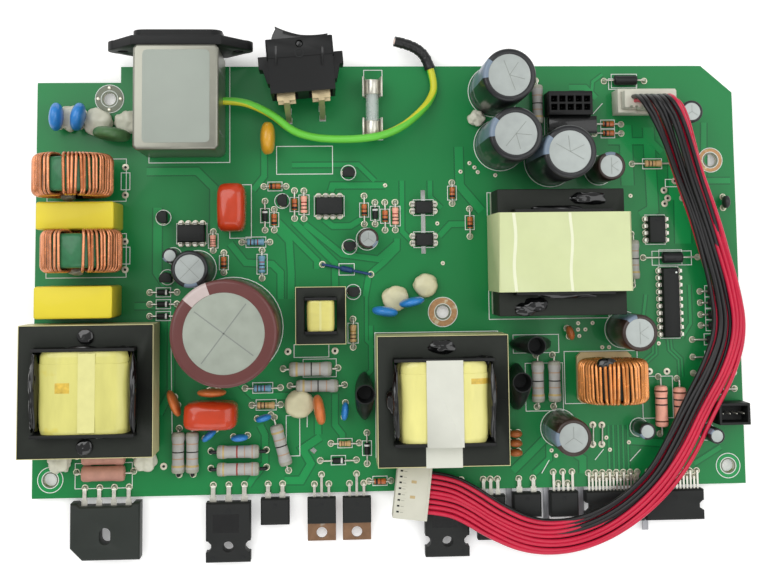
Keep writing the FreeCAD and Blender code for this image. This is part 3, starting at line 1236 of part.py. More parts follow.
def build():
    """All nodes, as lists of solids under their names."""
    nodes, pins, leads = {}, [], []
    filter_parts(nodes, pins)
    nodes["switch_housing"] = switch_housing()
    nodes["switch_rocker"] = switch_rocker()
    nodes["switch_terminals"] = switch_terminals()
    nodes["fuse_tube"] = fuse_tube()
    nodes["fuse_caps"] = fuse_caps()
    nodes["fuse_clips"] = fuse_clips()
    choke_parts(nodes, pins)
    magnetics(nodes, pins)
    capacitors(nodes, pins, leads)
    resistors_and_diodes(nodes, leads)
    packages(nodes, leads)
    edge_devices(nodes, leads)
    connectors(nodes)
    wires(nodes)
    nodes["component_leads"] = leads
    nodes["solder_pins"] = pins
    compound_dabs(nodes)
    nodes["circuit_board"] = circuit_board()
    return nodes


os.makedirs("parts", exist_ok=True)
for name, solids in build().items():
    shape = solids[0] if len(solids) == 1 else Part.makeCompound(solids)
    shape.exportStep("parts/" + name + ".step")
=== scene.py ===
import json
import logging
import math
import random
from dataclasses import dataclass, field
from enum import Enum
from typing import Callable, Iterable, Sequence, TypeVar, Union

import bmesh
import bpy
import numpy as np
from mathutils import Matrix, Vector, noise
from mathutils.bvhtree import BVHTree

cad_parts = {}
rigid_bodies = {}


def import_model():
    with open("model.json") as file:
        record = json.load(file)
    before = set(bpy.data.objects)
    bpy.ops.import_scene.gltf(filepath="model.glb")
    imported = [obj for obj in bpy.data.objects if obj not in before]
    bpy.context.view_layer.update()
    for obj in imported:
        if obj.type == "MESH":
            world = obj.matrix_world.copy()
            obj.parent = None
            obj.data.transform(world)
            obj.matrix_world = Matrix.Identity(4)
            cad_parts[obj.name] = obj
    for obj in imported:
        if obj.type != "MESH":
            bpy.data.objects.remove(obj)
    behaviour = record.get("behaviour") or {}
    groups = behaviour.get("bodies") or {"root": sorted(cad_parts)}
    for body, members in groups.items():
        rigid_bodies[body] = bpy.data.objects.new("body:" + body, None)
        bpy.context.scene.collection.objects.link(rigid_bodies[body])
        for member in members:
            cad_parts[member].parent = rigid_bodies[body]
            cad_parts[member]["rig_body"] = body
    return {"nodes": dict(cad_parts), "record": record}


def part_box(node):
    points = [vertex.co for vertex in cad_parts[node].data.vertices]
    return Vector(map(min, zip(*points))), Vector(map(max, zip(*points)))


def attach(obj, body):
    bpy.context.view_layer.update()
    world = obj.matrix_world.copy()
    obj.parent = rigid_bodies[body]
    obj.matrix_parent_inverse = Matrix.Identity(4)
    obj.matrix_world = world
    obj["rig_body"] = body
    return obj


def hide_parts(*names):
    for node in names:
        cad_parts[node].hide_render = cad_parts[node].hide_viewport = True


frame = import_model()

log = logging.getLogger("scene")

MM = 0.001
IMAGE_WIDTH = 773
IMAGE_HEIGHT = 576
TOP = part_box("circuit_board")[1].z / MM
LEFT, FRONT = (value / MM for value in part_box("circuit_board")[0].xy)
RIGHT, REAR = (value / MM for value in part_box("circuit_board")[1].xy)
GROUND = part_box("solder_pins")[0].z / MM
STRAP_BEND = 0.3
DIAGONAL = Vector((1, 1, 0))
X_AXIS = Vector((1, 0, 0))
Y_AXIS = Vector((0, 1, 0))
Z_AXIS = Vector((0, 0, 1))

Pair = tuple[float, float]
Triple = tuple[float, float, float]
Quad = tuple[float, float, float, float]


def linear(code: str) -> Quad:
    """Turns a hex screen colour into the linear values that shaders take.

    Args:
        code: Six hex digits.

    Returns:
        Red, green, blue and an alpha of one.
    """
    parts = [int(code[index:index + 2], 16) / 255 for index in (0, 2, 4)]
    values = [part / 12.92 if part <= 0.04045 else ((part + 0.055) / 1.055) ** 2.4 for part in parts]
    return values[0], values[1], values[2], 1.0


def shade(value: tuple, factor: float) -> Quad:
    """A colour made lighter or darker by a factor."""
    return tuple(min(1.0, part * factor) for part in value[:3]) + (1.0,)


@dataclass(frozen=True)
class Finish:
    """How one surface looks: its colour, its gloss and the small marks of its making.

    Mottle and grain hold a strength and a size in millimetres. Second holds a stain's
    colour, its share of the surface and the size of its patches.
    """

    name: str
    colour: str
    roughness: float = 0.5
    metallic: float = 0.0
    coat: float = 0.0
    mottle: Pair = (0.06, 3.0)
    stretch: Triple = (1.0, 1.0, 1.0)
    grain: Pair = (0.006, 0.5)
    second: tuple[str, float, float] | None = None
    wear: float = 0.12
    alpha: float = 1.0
    shine: float = 0.28


class Signal:
    """A socket in a node tree, so that arithmetic on it can be written as plain sums."""

    def __init__(self, wiring: "Wiring", socket: bpy.types.NodeSocket) -> None:
        """Keeps the socket and the tree that it belongs to."""
        self.wiring = wiring
        self.socket = socket

    def _math(self, operation: str, *others: "Signal | float") -> "Signal":
        """Joins this and others by a math node."""
        return self.wiring.node("ShaderNodeMath", (self, *others), operation=operation)[0]

    def __add__(self, other: "Signal | float") -> "Signal":
        """This plus another."""
        return self._math("ADD", other)

    def __sub__(self, other: "Signal | float") -> "Signal":
        """This less another."""
        return self._math("SUBTRACT", other)

    def __mul__(self, other: "Signal | float") -> "Signal":
        """This times another."""
        return self._math("MULTIPLY", other)

    def kept(self) -> "Signal":
        """This held between zero and one."""
        return self.wiring.node("ShaderNodeClamp", (self, 0.0, 1.0))[0]


class Wiring:
    """A node tree with a single method that makes its nodes."""

    def __init__(self, tree: bpy.types.NodeTree) -> None:
        """Keeps the tree that the nodes go into."""
        self.tree = tree

    def node(self, kind: str, inputs: "Sequence | dict" = (), **settings) -> list[Signal]:
        """Adds a node, joins or sets its inputs, and gives its outputs.

        Args:
            kind: The node's type name.
            inputs: A value or Signal for each input in order, or by name or identifier; None leaves it.
            settings: Properties of the node, such as its operation.

        Returns:
            The node's outputs, in order.
        """
        made = self.tree.nodes.new(kind)
        for key, value in settings.items():
            setattr(made, key, value)
        if isinstance(inputs, dict):
            pairs = [
                (next(item for item in made.inputs if key in (item.identifier, item.name)), value)
                for key, value in inputs.items()
            ]
        else:
            pairs = list(zip(made.inputs, inputs))
        for socket, value in pairs:
            if isinstance(value, Signal):
                self.tree.links.new(value.socket, socket)
            elif value is not None:
                socket.default_value = value
        return [Signal(self, socket) for socket in made.outputs]


class Painter(Wiring):
    """One material's node tree."""

    RELIEF = 0.5

    def __init__(self, name: str) -> None:
        """Makes an empty material and finds its shader and its object coordinates."""
        self.material = bpy.data.materials.new(name)
        self.material.use_nodes = True
        super().__init__(self.material.node_tree)
        self.shader = self.tree.nodes["Principled BSDF"]
        self.place = self.node("ShaderNodeTexCoord")[3]

    def drive(self, name: str, value: "Signal | float | tuple") -> None:
        """Sets or joins one input of the surface shader."""
        socket = self.shader.inputs[name]
        if isinstance(value, Signal):
            self.tree.links.new(value.socket, socket)
        else:
            socket.default_value = value

    def noise(
        self, size_mm: float, detail: float = 2.0, stretch: Triple = (1.0, 1.0, 1.0)
    ) -> Signal:
        """Soft noise on the surface's own coordinates.

        Args:
            size_mm: The rough size of its features.
            detail: How many finer layers it has.
            stretch: How much longer the features are along each axis.

        Returns:
            The noise, about a half on average.
        """
        scale = tuple(1 / part for part in stretch)
        place = self.node("ShaderNodeMapping", {"Vector": self.place, "Scale": scale})[0]
        inputs = {"Vector": place, "Scale": 1 / (size_mm * MM), "Detail": detail}
        return self.node("ShaderNodeTexNoise", inputs)[0]

    def mix(self, factor: "Signal | float", first: "Signal | tuple", second: "Signal | tuple") -> Signal:
        """Blends two colours by a factor."""
        inputs = {"Factor_Float": factor, "A_Color": first, "B_Color": second}
        return next(
            item for item in self.node("ShaderNodeMix", inputs, data_type="RGBA")
            if item.socket.identifier == "Result_Color"
        )

    def bump(self, height: Signal, distance_mm: float) -> None:
        """Raises the surface's relief by a height between zero and one."""
        inputs = {"Strength": self.RELIEF, "Distance": distance_mm * MM, "Height": height}
        self.drive("Normal", self.node("ShaderNodeBump", inputs)[0])


Paint = Union[Finish, bpy.types.Material]


class Palette:
    """Makes each finish once and hands the same material out again."""

    STAIN_EDGE = 9.0

    def __init__(self) -> None:
        """Starts with no material made."""
        self._made: dict[str, bpy.types.Material] = {}

    def get(self, paint: Paint) -> bpy.types.Material:
        """The material of a finish, the same one each time."""
        if not isinstance(paint, Finish):
            return paint
        if paint.name not in self._made:
            self._made[paint.name] = self._paint(paint)
        return self._made[paint.name]

    def _paint(self, finish: Finish) -> bpy.types.Material:
        """Wires a finish: a mottled colour, a stain on it, uneven gloss and fine relief."""
        painter = Painter(finish.name)
        colour = linear(finish.colour)
        depth, size = finish.mottle
        patch = painter.noise(size, 3.0, finish.stretch)
        surface = painter.mix(patch, shade(colour, 1 - depth * 2), shade(colour, 1 + depth * 2))
        if finish.second:
            stain, share, spread = finish.second
            spots = (painter.noise(spread, 3.0) - (1 - share)) * self.STAIN_EDGE
            surface = painter.mix(spots.kept(), surface, linear(stain))
        painter.drive("Base Color", surface)
        painter.drive("Roughness", (patch - 0.5) * finish.wear + finish.roughness)
        painter.drive("Metallic", finish.metallic)
        painter.drive("Coat Weight", finish.coat)
        painter.drive("Alpha", finish.alpha)
        painter.drive("Specular IOR Level", 0.5 if finish.metallic > 0.5 else finish.shine)
        height, size = finish.grain
        painter.bump(painter.noise(size, 3.0, finish.stretch), height)
        return painter.material


palette = Palette()

# Board
GREEN_MASK = Finish("green_mask", "0a7a3c", 0.36, coat=0.12, mottle=(0.05, 30), grain=(0.004, 1.2))
TRACK_MASK = Finish("track_mask", "128a46", 0.34, coat=0.12, mottle=(0.04, 14))
DARK_MASK = Finish("gap_mask", "086634", 0.36, coat=0.12, mottle=(0.04, 14))
LAMINATE = Finish("laminate_edge", "8f9c5c", 0.6, mottle=(0.1, 1.2), stretch=(4, 4, 1))
SILK = Finish("silk_ink", "dfe6df", 0.6, mottle=(0.05, 1.0))
SOLDER = Finish("solder", "d2cfbd", 0.3, 0.7, mottle=(0.14, 0.8), grain=(0.02, 0.6))
PAD = Finish("tinned_pad", "cdc9b4", 0.36, 0.6, mottle=(0.12, 1.2))
RING_GREY = Finish("ring_grey", "6f7466", 0.45, 0.5, mottle=(0.12, 1.5))
BARE_COPPER = Finish("bare_copper", "a9835c", 0.42, 0.7, mottle=(0.2, 1.6), second=("c9c3a6", 0.45, 3))

# Metals
STEEL = Finish("can_steel", "8d8d82", 0.34, 0.85, mottle=(0.07, 7), grain=(0.01, 0.5))
LABEL = Finish("blank_plate", "979e95", 0.5, 0.1, mottle=(0.03, 9))
TIN = Finish("bright_tin", "cbc9bd", 0.3, 0.75, mottle=(0.12, 1.5))
BRASS = Finish("tag_metal", "c2b18b", 0.36, 0.6, mottle=(0.12, 2))
CLAMP = Finish("clamp_metal", "a9aaae", 0.42, 0.35, mottle=(0.08, 4))
COPPER_TAB = Finish("copper_tab", "7d6049", 0.42, 0.8, mottle=(0.14, 3), second=("94897c", 0.35, 3))
COPPER = Finish("enamelled_copper", "c67c4e", 0.26, 0.6, coat=0.6, mottle=(0.24, 2.4))
ORANGE_COPPER = Finish("orange_copper", "d68a45", 0.26, 0.6, coat=0.6, mottle=(0.2, 2.4))
CAN_TOP = Finish("can_top", "a0a79b", 0.36, 0.75, mottle=(0.07, 5))
TALL_TOP = Finish("tall_can_top", "9fa5a2", 0.34, 0.75, mottle=(0.08, 4))
SCORE = Finish("score_line", "868b85", 0.4, 0.6)

# Mouldings
BLACK_MOULD = Finish("black_mould", "131414", grain=(0.012, 0.35))
BLACK_GLOSS = Finish("black_gloss", "0e0f0f", 0.24, coat=0.4)
PACKAGE = Finish("package_black", "1b1d1c", 0.56, mottle=(0.08, 2), grain=(0.01, 0.25))
BRIDGE_CASE = Finish("bridge_case", "262b27", mottle=(0.08, 5), grain=(0.012, 0.3))
# Near-black matte: real moulding dimples and notches, and also painted shade inside the via holes and the free
# plug's wire windows.
DARK_MARK_AND_HOLE_SHADE = Finish("dark_mark_and_hole_shade", "1a1c1c", 0.6)
NYLON = Finish("nylon", "c8c7b8", 0.45, mottle=(0.03, 5))
BEIGE = Finish("beige_board", "b9a479", 0.6, mottle=(0.08, 3))
FERRITE = Finish("ferrite", "1e221c", 0.6, mottle=(0.14, 3), grain=(0.015, 0.3))
GREEN_CORE = Finish("green_core", "2c6a44", 0.42, coat=0.25, mottle=(0.16, 2))

# Tapes and coats
BOOST_TAPE = Finish(
    "boost_tape", "cdc873", 0.32, coat=0.35, mottle=(0.09, 4), stretch=(1, 4, 1), grain=(0.16, 2.6),
    second=("cbb834", 0.36, 12),
)
MAIN_TAPE = Finish(
    "main_tape", "ddd786", 0.32, coat=0.35, mottle=(0.08, 4), stretch=(1, 4, 1), grain=(0.14, 2.4),
    second=("b98f3a", 0.16, 9),
)
STAIN = Finish("tape_stain", "cfae44", 0.34, coat=0.3, mottle=(0.25, 1.6))
TAPE_SEAM = Finish("tape_seam", "d6d28c", 0.34, coat=0.3, mottle=(0.04, 3), grain=(0.03, 1.5))
PALE_BAND = Finish("pale_band", "c8d09e", 0.4, coat=0.2, mottle=(0.03, 7), grain=(0.04, 4))
BAND_SEAM = Finish("band_seam", "dfe2c4", 0.4, coat=0.2, mottle=(0.03, 4))
WHITE_TAPE = Finish("white_tape", "cfd0c4", 0.42, coat=0.15, mottle=(0.03, 6), grain=(0.05, 3))
CREAM_TAPE = Finish("cream_tape", "c9c392", 0.45, coat=0.15, mottle=(0.08, 5))
DRIVER_TAPE = Finish(
    "driver_tape", "d3cb74", 0.36, coat=0.3, mottle=(0.06, 2), stretch=(4, 1, 1), grain=(0.05, 1),
)
YELLOW_CASE = Finish("yellow_case", "dccb33", 0.42, coat=0.1, mottle=(0.03, 10), grain=(0.01, 0.8))
ORANGE_DIP = Finish("orange_dip", "bb3a18", 0.24, coat=0.5, mottle=(0.08, 4), grain=(0.05, 3))
BLUE_DIP = Finish("blue_dip", "2c7cc4", 0.3, coat=0.4, mottle=(0.1, 2), grain=(0.03, 1.5))
BROWN_DIP = Finish("brown_dip", "a55d2e", 0.4, coat=0.2, mottle=(0.12, 1.6), grain=(0.02, 0.8))
ORANGE_DISC = Finish("orange_disc", "c8703a", 0.4, coat=0.2, mottle=(0.12, 2), grain=(0.03, 1))
AMBER_DIP = Finish("amber_dip", "cf9a2a", 0.3, coat=0.4, mottle=(0.1, 2), grain=(0.03, 1))
GREEN_DIP = Finish("green_dip", "4a6f45", 0.42, coat=0.15, mottle=(0.14, 1.5), grain=(0.03, 0.7))
DARK_DIP = Finish("dark_dip", "2a2c2b", 0.42, coat=0.15)
BROWN_SLEEVE = Finish("brown_sleeve", "5e322f", 0.34, coat=0.3, mottle=(0.05, 9), grain=(0.02, 4))
BLACK_SLEEVE = Finish("black_sleeve", "1d1e20", 0.32, coat=0.3, mottle=(0.06, 5), grain=(0.015, 3))
DARK_BROWN_SLEEVE = Finish("dark_brown_sleeve", "33251f", 0.34, coat=0.3, mottle=(0.06, 5))
STRIPE_WHITE = Finish("stripe_white", "b9aaa6", 0.36, coat=0.3, mottle=(0.04, 3))
STRIPE_SLATE = Finish("stripe_slate", "6f7f90", 0.36, coat=0.3, mottle=(0.05, 3))
SILICONE = Finish("silicone", "cdc8a4", 0.38, coat=0.25, mottle=(0.07, 3), grain=(0.2, 3))
WHITE_GUM = Finish("white_gum", "d0cfbd", 0.42, coat=0.15, mottle=(0.05, 2.5), grain=(0.15, 2))
BLACK_GLUE = Finish("black_glue", "060707", 0.1, coat=0.8, mottle=(0.2, 3), grain=(0.12, 2.5))
GREY_GUM = Finish("grey_gum", "a9aca0", mottle=(0.12, 2), grain=(0.2, 1.5))
SHRINK = Finish("shrink_tube", "191a1b", 0.42, coat=0.1, mottle=(0.2, 3), grain=(0.18, 2.2))
WRINKLED = Finish("wrinkled_sleeve", "1b1c1c", 0.4, coat=0.15, mottle=(0.2, 2), grain=(0.15, 1.6))

# Resistors and diodes
GREY_COAT = Finish("grey_coat", "a5a5a0", mottle=(0.08, 2), grain=(0.03, 0.7))
GREY_END = Finish("grey_end", "9a9a8c", mottle=(0.1, 1.5))
SALMON = Finish("salmon_coat", "eba892", 0.48, mottle=(0.1, 2), grain=(0.03, 0.7))
PINK_BROWN = Finish("pink_brown_coat", "b58676", mottle=(0.12, 2.5), grain=(0.03, 0.8))
TAN = Finish("tan_coat", "c2a070", 0.45, mottle=(0.08, 1.5))
LIGHT_BLUE = Finish("light_blue_coat", "6f9cb4", 0.42, coat=0.1, mottle=(0.08, 1.5))
GLASS_ORANGE = Finish("glass_orange", "b5602c", 0.16, coat=0.5, mottle=(0.2, 0.9))
BAND_BROWN = Finish("band_brown", "5a3220")
BAND_RED = Finish("band_red", "8f2d24")
BAND_BLACK = Finish("band_black", "1e1d1c")
BAND_GOLD = Finish("band_gold", "a07c34", 0.4, 0.3)
FAINT_BAND = Finish("faint_band", "a98d76")
PALE_GOLD = Finish("pale_gold_band", "b5a06c", 0.45, 0.2)
BLUE_TUBE = Finish("blue_tube", "22406b", 0.42, coat=0.15)
BAND_WHITE = Finish("band_white", "cfd1cc")
BAND_SILVER = Finish("band_silver", "a3a5a4", 0.4, 0.4)
FUSE_GLASS = Finish("fuse_glass", "dfe8e4", 0.06, coat=0.6, alpha=0.32)

# Wires
WIRE_GREEN = Finish("wire_green", "66c440", 0.4, coat=0.2, mottle=(0.05, 8))
WIRE_YELLOW = Finish("wire_yellow", "c9c92c", 0.4, coat=0.2, mottle=(0.05, 8))
WIRE_BLACK = Finish("wire_black", "1c1b1c", 0.38, coat=0.2, mottle=(0.06, 8))
WIRE_RED = Finish("wire_red", "c01a3c", 0.36, coat=0.25, mottle=(0.08, 9))


def material_slot(node: str) -> str:
    """The record's material slot of a CAD node."""
    return next(row["material_slot"] for row in frame["record"]["subparts"] if row["node"] == node)


def placed(name: str, data: bpy.types.ID) -> bpy.types.Object:
    """Makes an object of some data and links it into the scene."""
    made = bpy.data.objects.new(name, data)
    bpy.context.scene.collection.objects.link(made)
    return made


def shown(mesh: bpy.types.Mesh, name: str, node: str) -> bpy.types.Object:
    """Puts a mesh in the scene and lets it ride on a CAD node's body."""
    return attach(placed(name, mesh), frame["nodes"][node]["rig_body"])


def applied(piece: bpy.types.Object) -> None:
    """Bakes a piece's modifiers into its mesh."""
    graph = bpy.context.evaluated_depsgraph_get()
    baked = bpy.data.meshes.new_from_object(piece.evaluated_get(graph))
    piece.modifiers.clear()
    piece.data = baked


def rounded_edges(piece: bpy.types.Object, width_mm: float) -> None:
    """Rounds a piece's sharp edges by a bevel and bakes it.

    Args:
        piece: The piece.
        width_mm: The width of the rounding.
    """
    bevel = piece.modifiers.new("edges", "BEVEL")
    bevel.width = width_mm * MM
    bevel.segments = 2
    bevel.limit_method = "ANGLE"
    bevel.angle_limit = math.radians(40)
    applied(piece)


def smooth(mesh: bpy.types.Mesh, angle: float = 35.0) -> None:
    """Shades a mesh smooth, with hard edges past an angle in degrees."""
    mesh.polygons.foreach_set("use_smooth", [True] * len(mesh.polygons))
    mesh.set_sharp_from_angle(angle=math.radians(angle))


def delivered(piece: bpy.types.Object, nodes: Sequence[str]) -> bpy.types.Object:
    """Hides the CAD nodes that a piece stands for, and logs it.

    Args:
        piece: The finished piece.
        nodes: The CAD nodes; the first one's material slot is looked up in the record.

    Returns:
        The same piece.
    """
    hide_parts(*nodes)
    material_slot(nodes[0])
    log.info("%s: %d faces for %s", piece.name, len(piece.data.polygons), ", ".join(nodes))
    return piece


@dataclass
class Solid:
    """One connected solid of a CAD node, measured in millimetres from its mesh."""

    points: np.ndarray

    @property
    def low(self) -> Vector:
        """The lowest corner of its box."""
        return Vector(self.points.min(0))

    @property
    def high(self) -> Vector:
        """The highest corner of its box."""
        return Vector(self.points.max(0))

    @property
    def middle(self) -> Vector:
        """The middle of its box."""
        return (self.low + self.high) / 2

    @property
    def size(self) -> Vector:
        """The three sides of its box."""
        return self.high - self.low

    def stand(self, z: float = 0.0) -> Matrix:
        """The upright place at its middle in plan and at a height."""
        return at(self.middle.x, self.middle.y, z)

    def lying(self) -> tuple[Matrix, float, float]:
        """Its frame in plan, with X along its length and Z up.

        Returns:
            The frame at its middle, then its full length and its full width.
        """
        flat = self.points[:, :2] - self.points[:, :2].mean(0)
        _, vectors = np.linalg.eigh(flat.T @ flat)
        along = vectors[:, 1] if vectors[0, 1] >= 0 else -vectors[:, 1]
        across = np.array((-along[1], along[0]))
        length, width = (float(np.ptp(self.points[:, :2] @ axis)) for axis in (along, across))
        place = Matrix(((along[0], across[0], 0), (along[1], across[1], 0), (0, 0, 1))).to_4x4()
        place.translation = self.middle
        return place, length, width


def islands(cage: bmesh.types.BMesh) -> list[list[bmesh.types.BMFace]]:
    """Groups a mesh's faces by connected solid."""
    waiting, groups = set(cage.faces), []
    while waiting:
        stack, group = [waiting.pop()], []
        while stack:
            face = stack.pop()
            group.append(face)
            near = {other for edge in face.edges for other in edge.link_faces} & waiting
            waiting -= near
            stack.extend(near)
        groups.append(group)
    return groups


def cage_of(node: str) -> bmesh.types.BMesh:
    """A CAD node's mesh with its facets joined at their corners."""
    cage = bmesh.new()
    cage.from_mesh(frame["nodes"][node].data)
    bmesh.ops.remove_doubles(cage, verts=cage.verts, dist=1e-6)
    return cage


def solid_of(faces: Iterable[bmesh.types.BMFace]) -> Solid:
    """Measures the solid that some connected faces bound."""
    corners = {vertex for face in faces for vertex in face.verts}
    return Solid(np.array([vertex.co / MM for vertex in corners]))


def solids(node: str) -> list[Solid]:
    """Splits a CAD node into its connected solids, in order of place."""
    cage = cage_of(node)
    found = [solid_of(group) for group in islands(cage)]
    cage.free()
    return sorted(found, key=lambda solid: [round(part, 3) for part in (*solid.middle.xy, solid.low.z)])


Chooser = Callable[[Solid, Vector, Vector], "Paint | None"]


def polished(
    node: str, finish: Paint, bevel_mm: float = 0.15, choose: Chooser | None = None, joined: bool = True
) -> bpy.types.Object:
    """Stands in for a CAD node with the same form and slightly rounded edges.

    Args:
        node: The CAD node.
        finish: The finish of the piece.
        bevel_mm: The width of the rounding, or zero.
        choose: Gives another finish for a face, from its solid, its centre in millimetres and its normal.
        joined: Whether flat facets become one face, which a flat ring can't.

    Returns:
        The piece that is shown in the node's place.
    """
    cage = cage_of(node)
    if joined:
        bmesh.ops.dissolve_limit(cage, angle_limit=math.radians(1), verts=cage.verts, edges=cage.edges)
    materials = [palette.get(finish)]
    for face in cage.faces:
        face.material_index = 0
    for group in islands(cage) if choose else ():
        solid = solid_of(group)
        for face in group:
            paint = choose(solid, face.calc_center_median() / MM, face.normal)
            if paint:
                material = palette.get(paint)
                if material not in materials:
                    materials.append(material)
                face.material_index = materials.index(material)
    mesh = bpy.data.meshes.new(node + "_skin")
    cage.to_mesh(mesh)
    cage.free()
    for material in materials:
        mesh.materials.append(material)
    piece = shown(mesh, node + "_skin", node)
    if bevel_mm:
        rounded_edges(piece, bevel_mm)
    smooth(piece.data)
    return delivered(piece, (node,))


def carried(route: Sequence[Vector], start: Vector = X_AXIS) -> list[tuple[Vector, Vector]]:
    """Two directions across a route at each of its points, carried along without twist.

    Args:
        route: The points of the route.
        start: The first direction across, as near as it may be.

    Returns:
        A pair of unit vectors for each point.
    """
    across = start.copy()
    pairs = []
    for index in range(len(route)):
        ahead = (route[min(index + 1, len(route) - 1)] - route[max(index - 1, 0)]).normalized()
        across = across - ahead * across.dot(ahead)
        if across.length < 1e-6:
            across = ahead.orthogonal()
        across.normalize()
        pairs.append((across.copy(), ahead.cross(across)))
    return pairs


def bent(corners: Sequence[Sequence[float]], radius: float, steps: int = 3) -> list[Vector]:
    """A lead's line with each corner turned into a small bend.

    Args:
        corners: The line's corners.
        radius: How far from a corner its bend starts.
        steps: The parts of each bend.

    Returns:
        The points of the smooth line.
    """
    points = [Vector(corner) for corner in corners]
    line = [points[0]]
    for before, corner, after in zip(points, points[1:], points[2:]):
        back, ahead = before - corner, after - corner
        reach = min(radius, back.length * 0.45, ahead.length * 0.45)
        first, last = corner + back.normalized() * reach, corner + ahead.normalized() * reach
        for step in range(steps + 1):
            share = step / steps
            line.append(first * (1 - share) ** 2 + corner * (2 * share * (1 - share)) + last * share ** 2)
    line.append(points[-1])
    return line


def at(x: float, y: float, z: float = 0.0) -> Matrix:
    """The place of something that stands upright at a point."""
    return Matrix.Translation((x, y, z))


def rectangle(left: float, front: float, right: float, rear: float) -> list[Pair]:
    """The corners of a rectangle in plan."""
    return [(left, front), (right, front), (right, rear), (left, rear)]


def circle(radius: float, sides: int, twist: float = 0.0) -> list[Pair]:
    """Points evenly round a circle, from a first angle in radians."""
    turns = [2 * math.pi * side / sides + twist for side in range(sides)]
    return [(radius * math.cos(turn), radius * math.sin(turn)) for turn in turns]


def facing(origin: Vector, axis: Vector) -> Matrix:
    """The place of something whose own Z runs along an axis."""
    place = axis.to_track_quat("Z", "Y").to_matrix().to_4x4()
    place.translation = origin
    return place


@dataclass(frozen=True)
class Sector:
    """A part of a turned form between two angles that has another finish."""

    start: float
    end: float
    rows: tuple[int, int]
    paint: Paint

    def holds(self, row: int, angle: float) -> bool:
        """Whether a face in a row, at an angle in degrees, lies in the sector."""
        return self.rows[0] <= row < self.rows[1] and (angle - self.start) % 360 < (self.end - self.start)


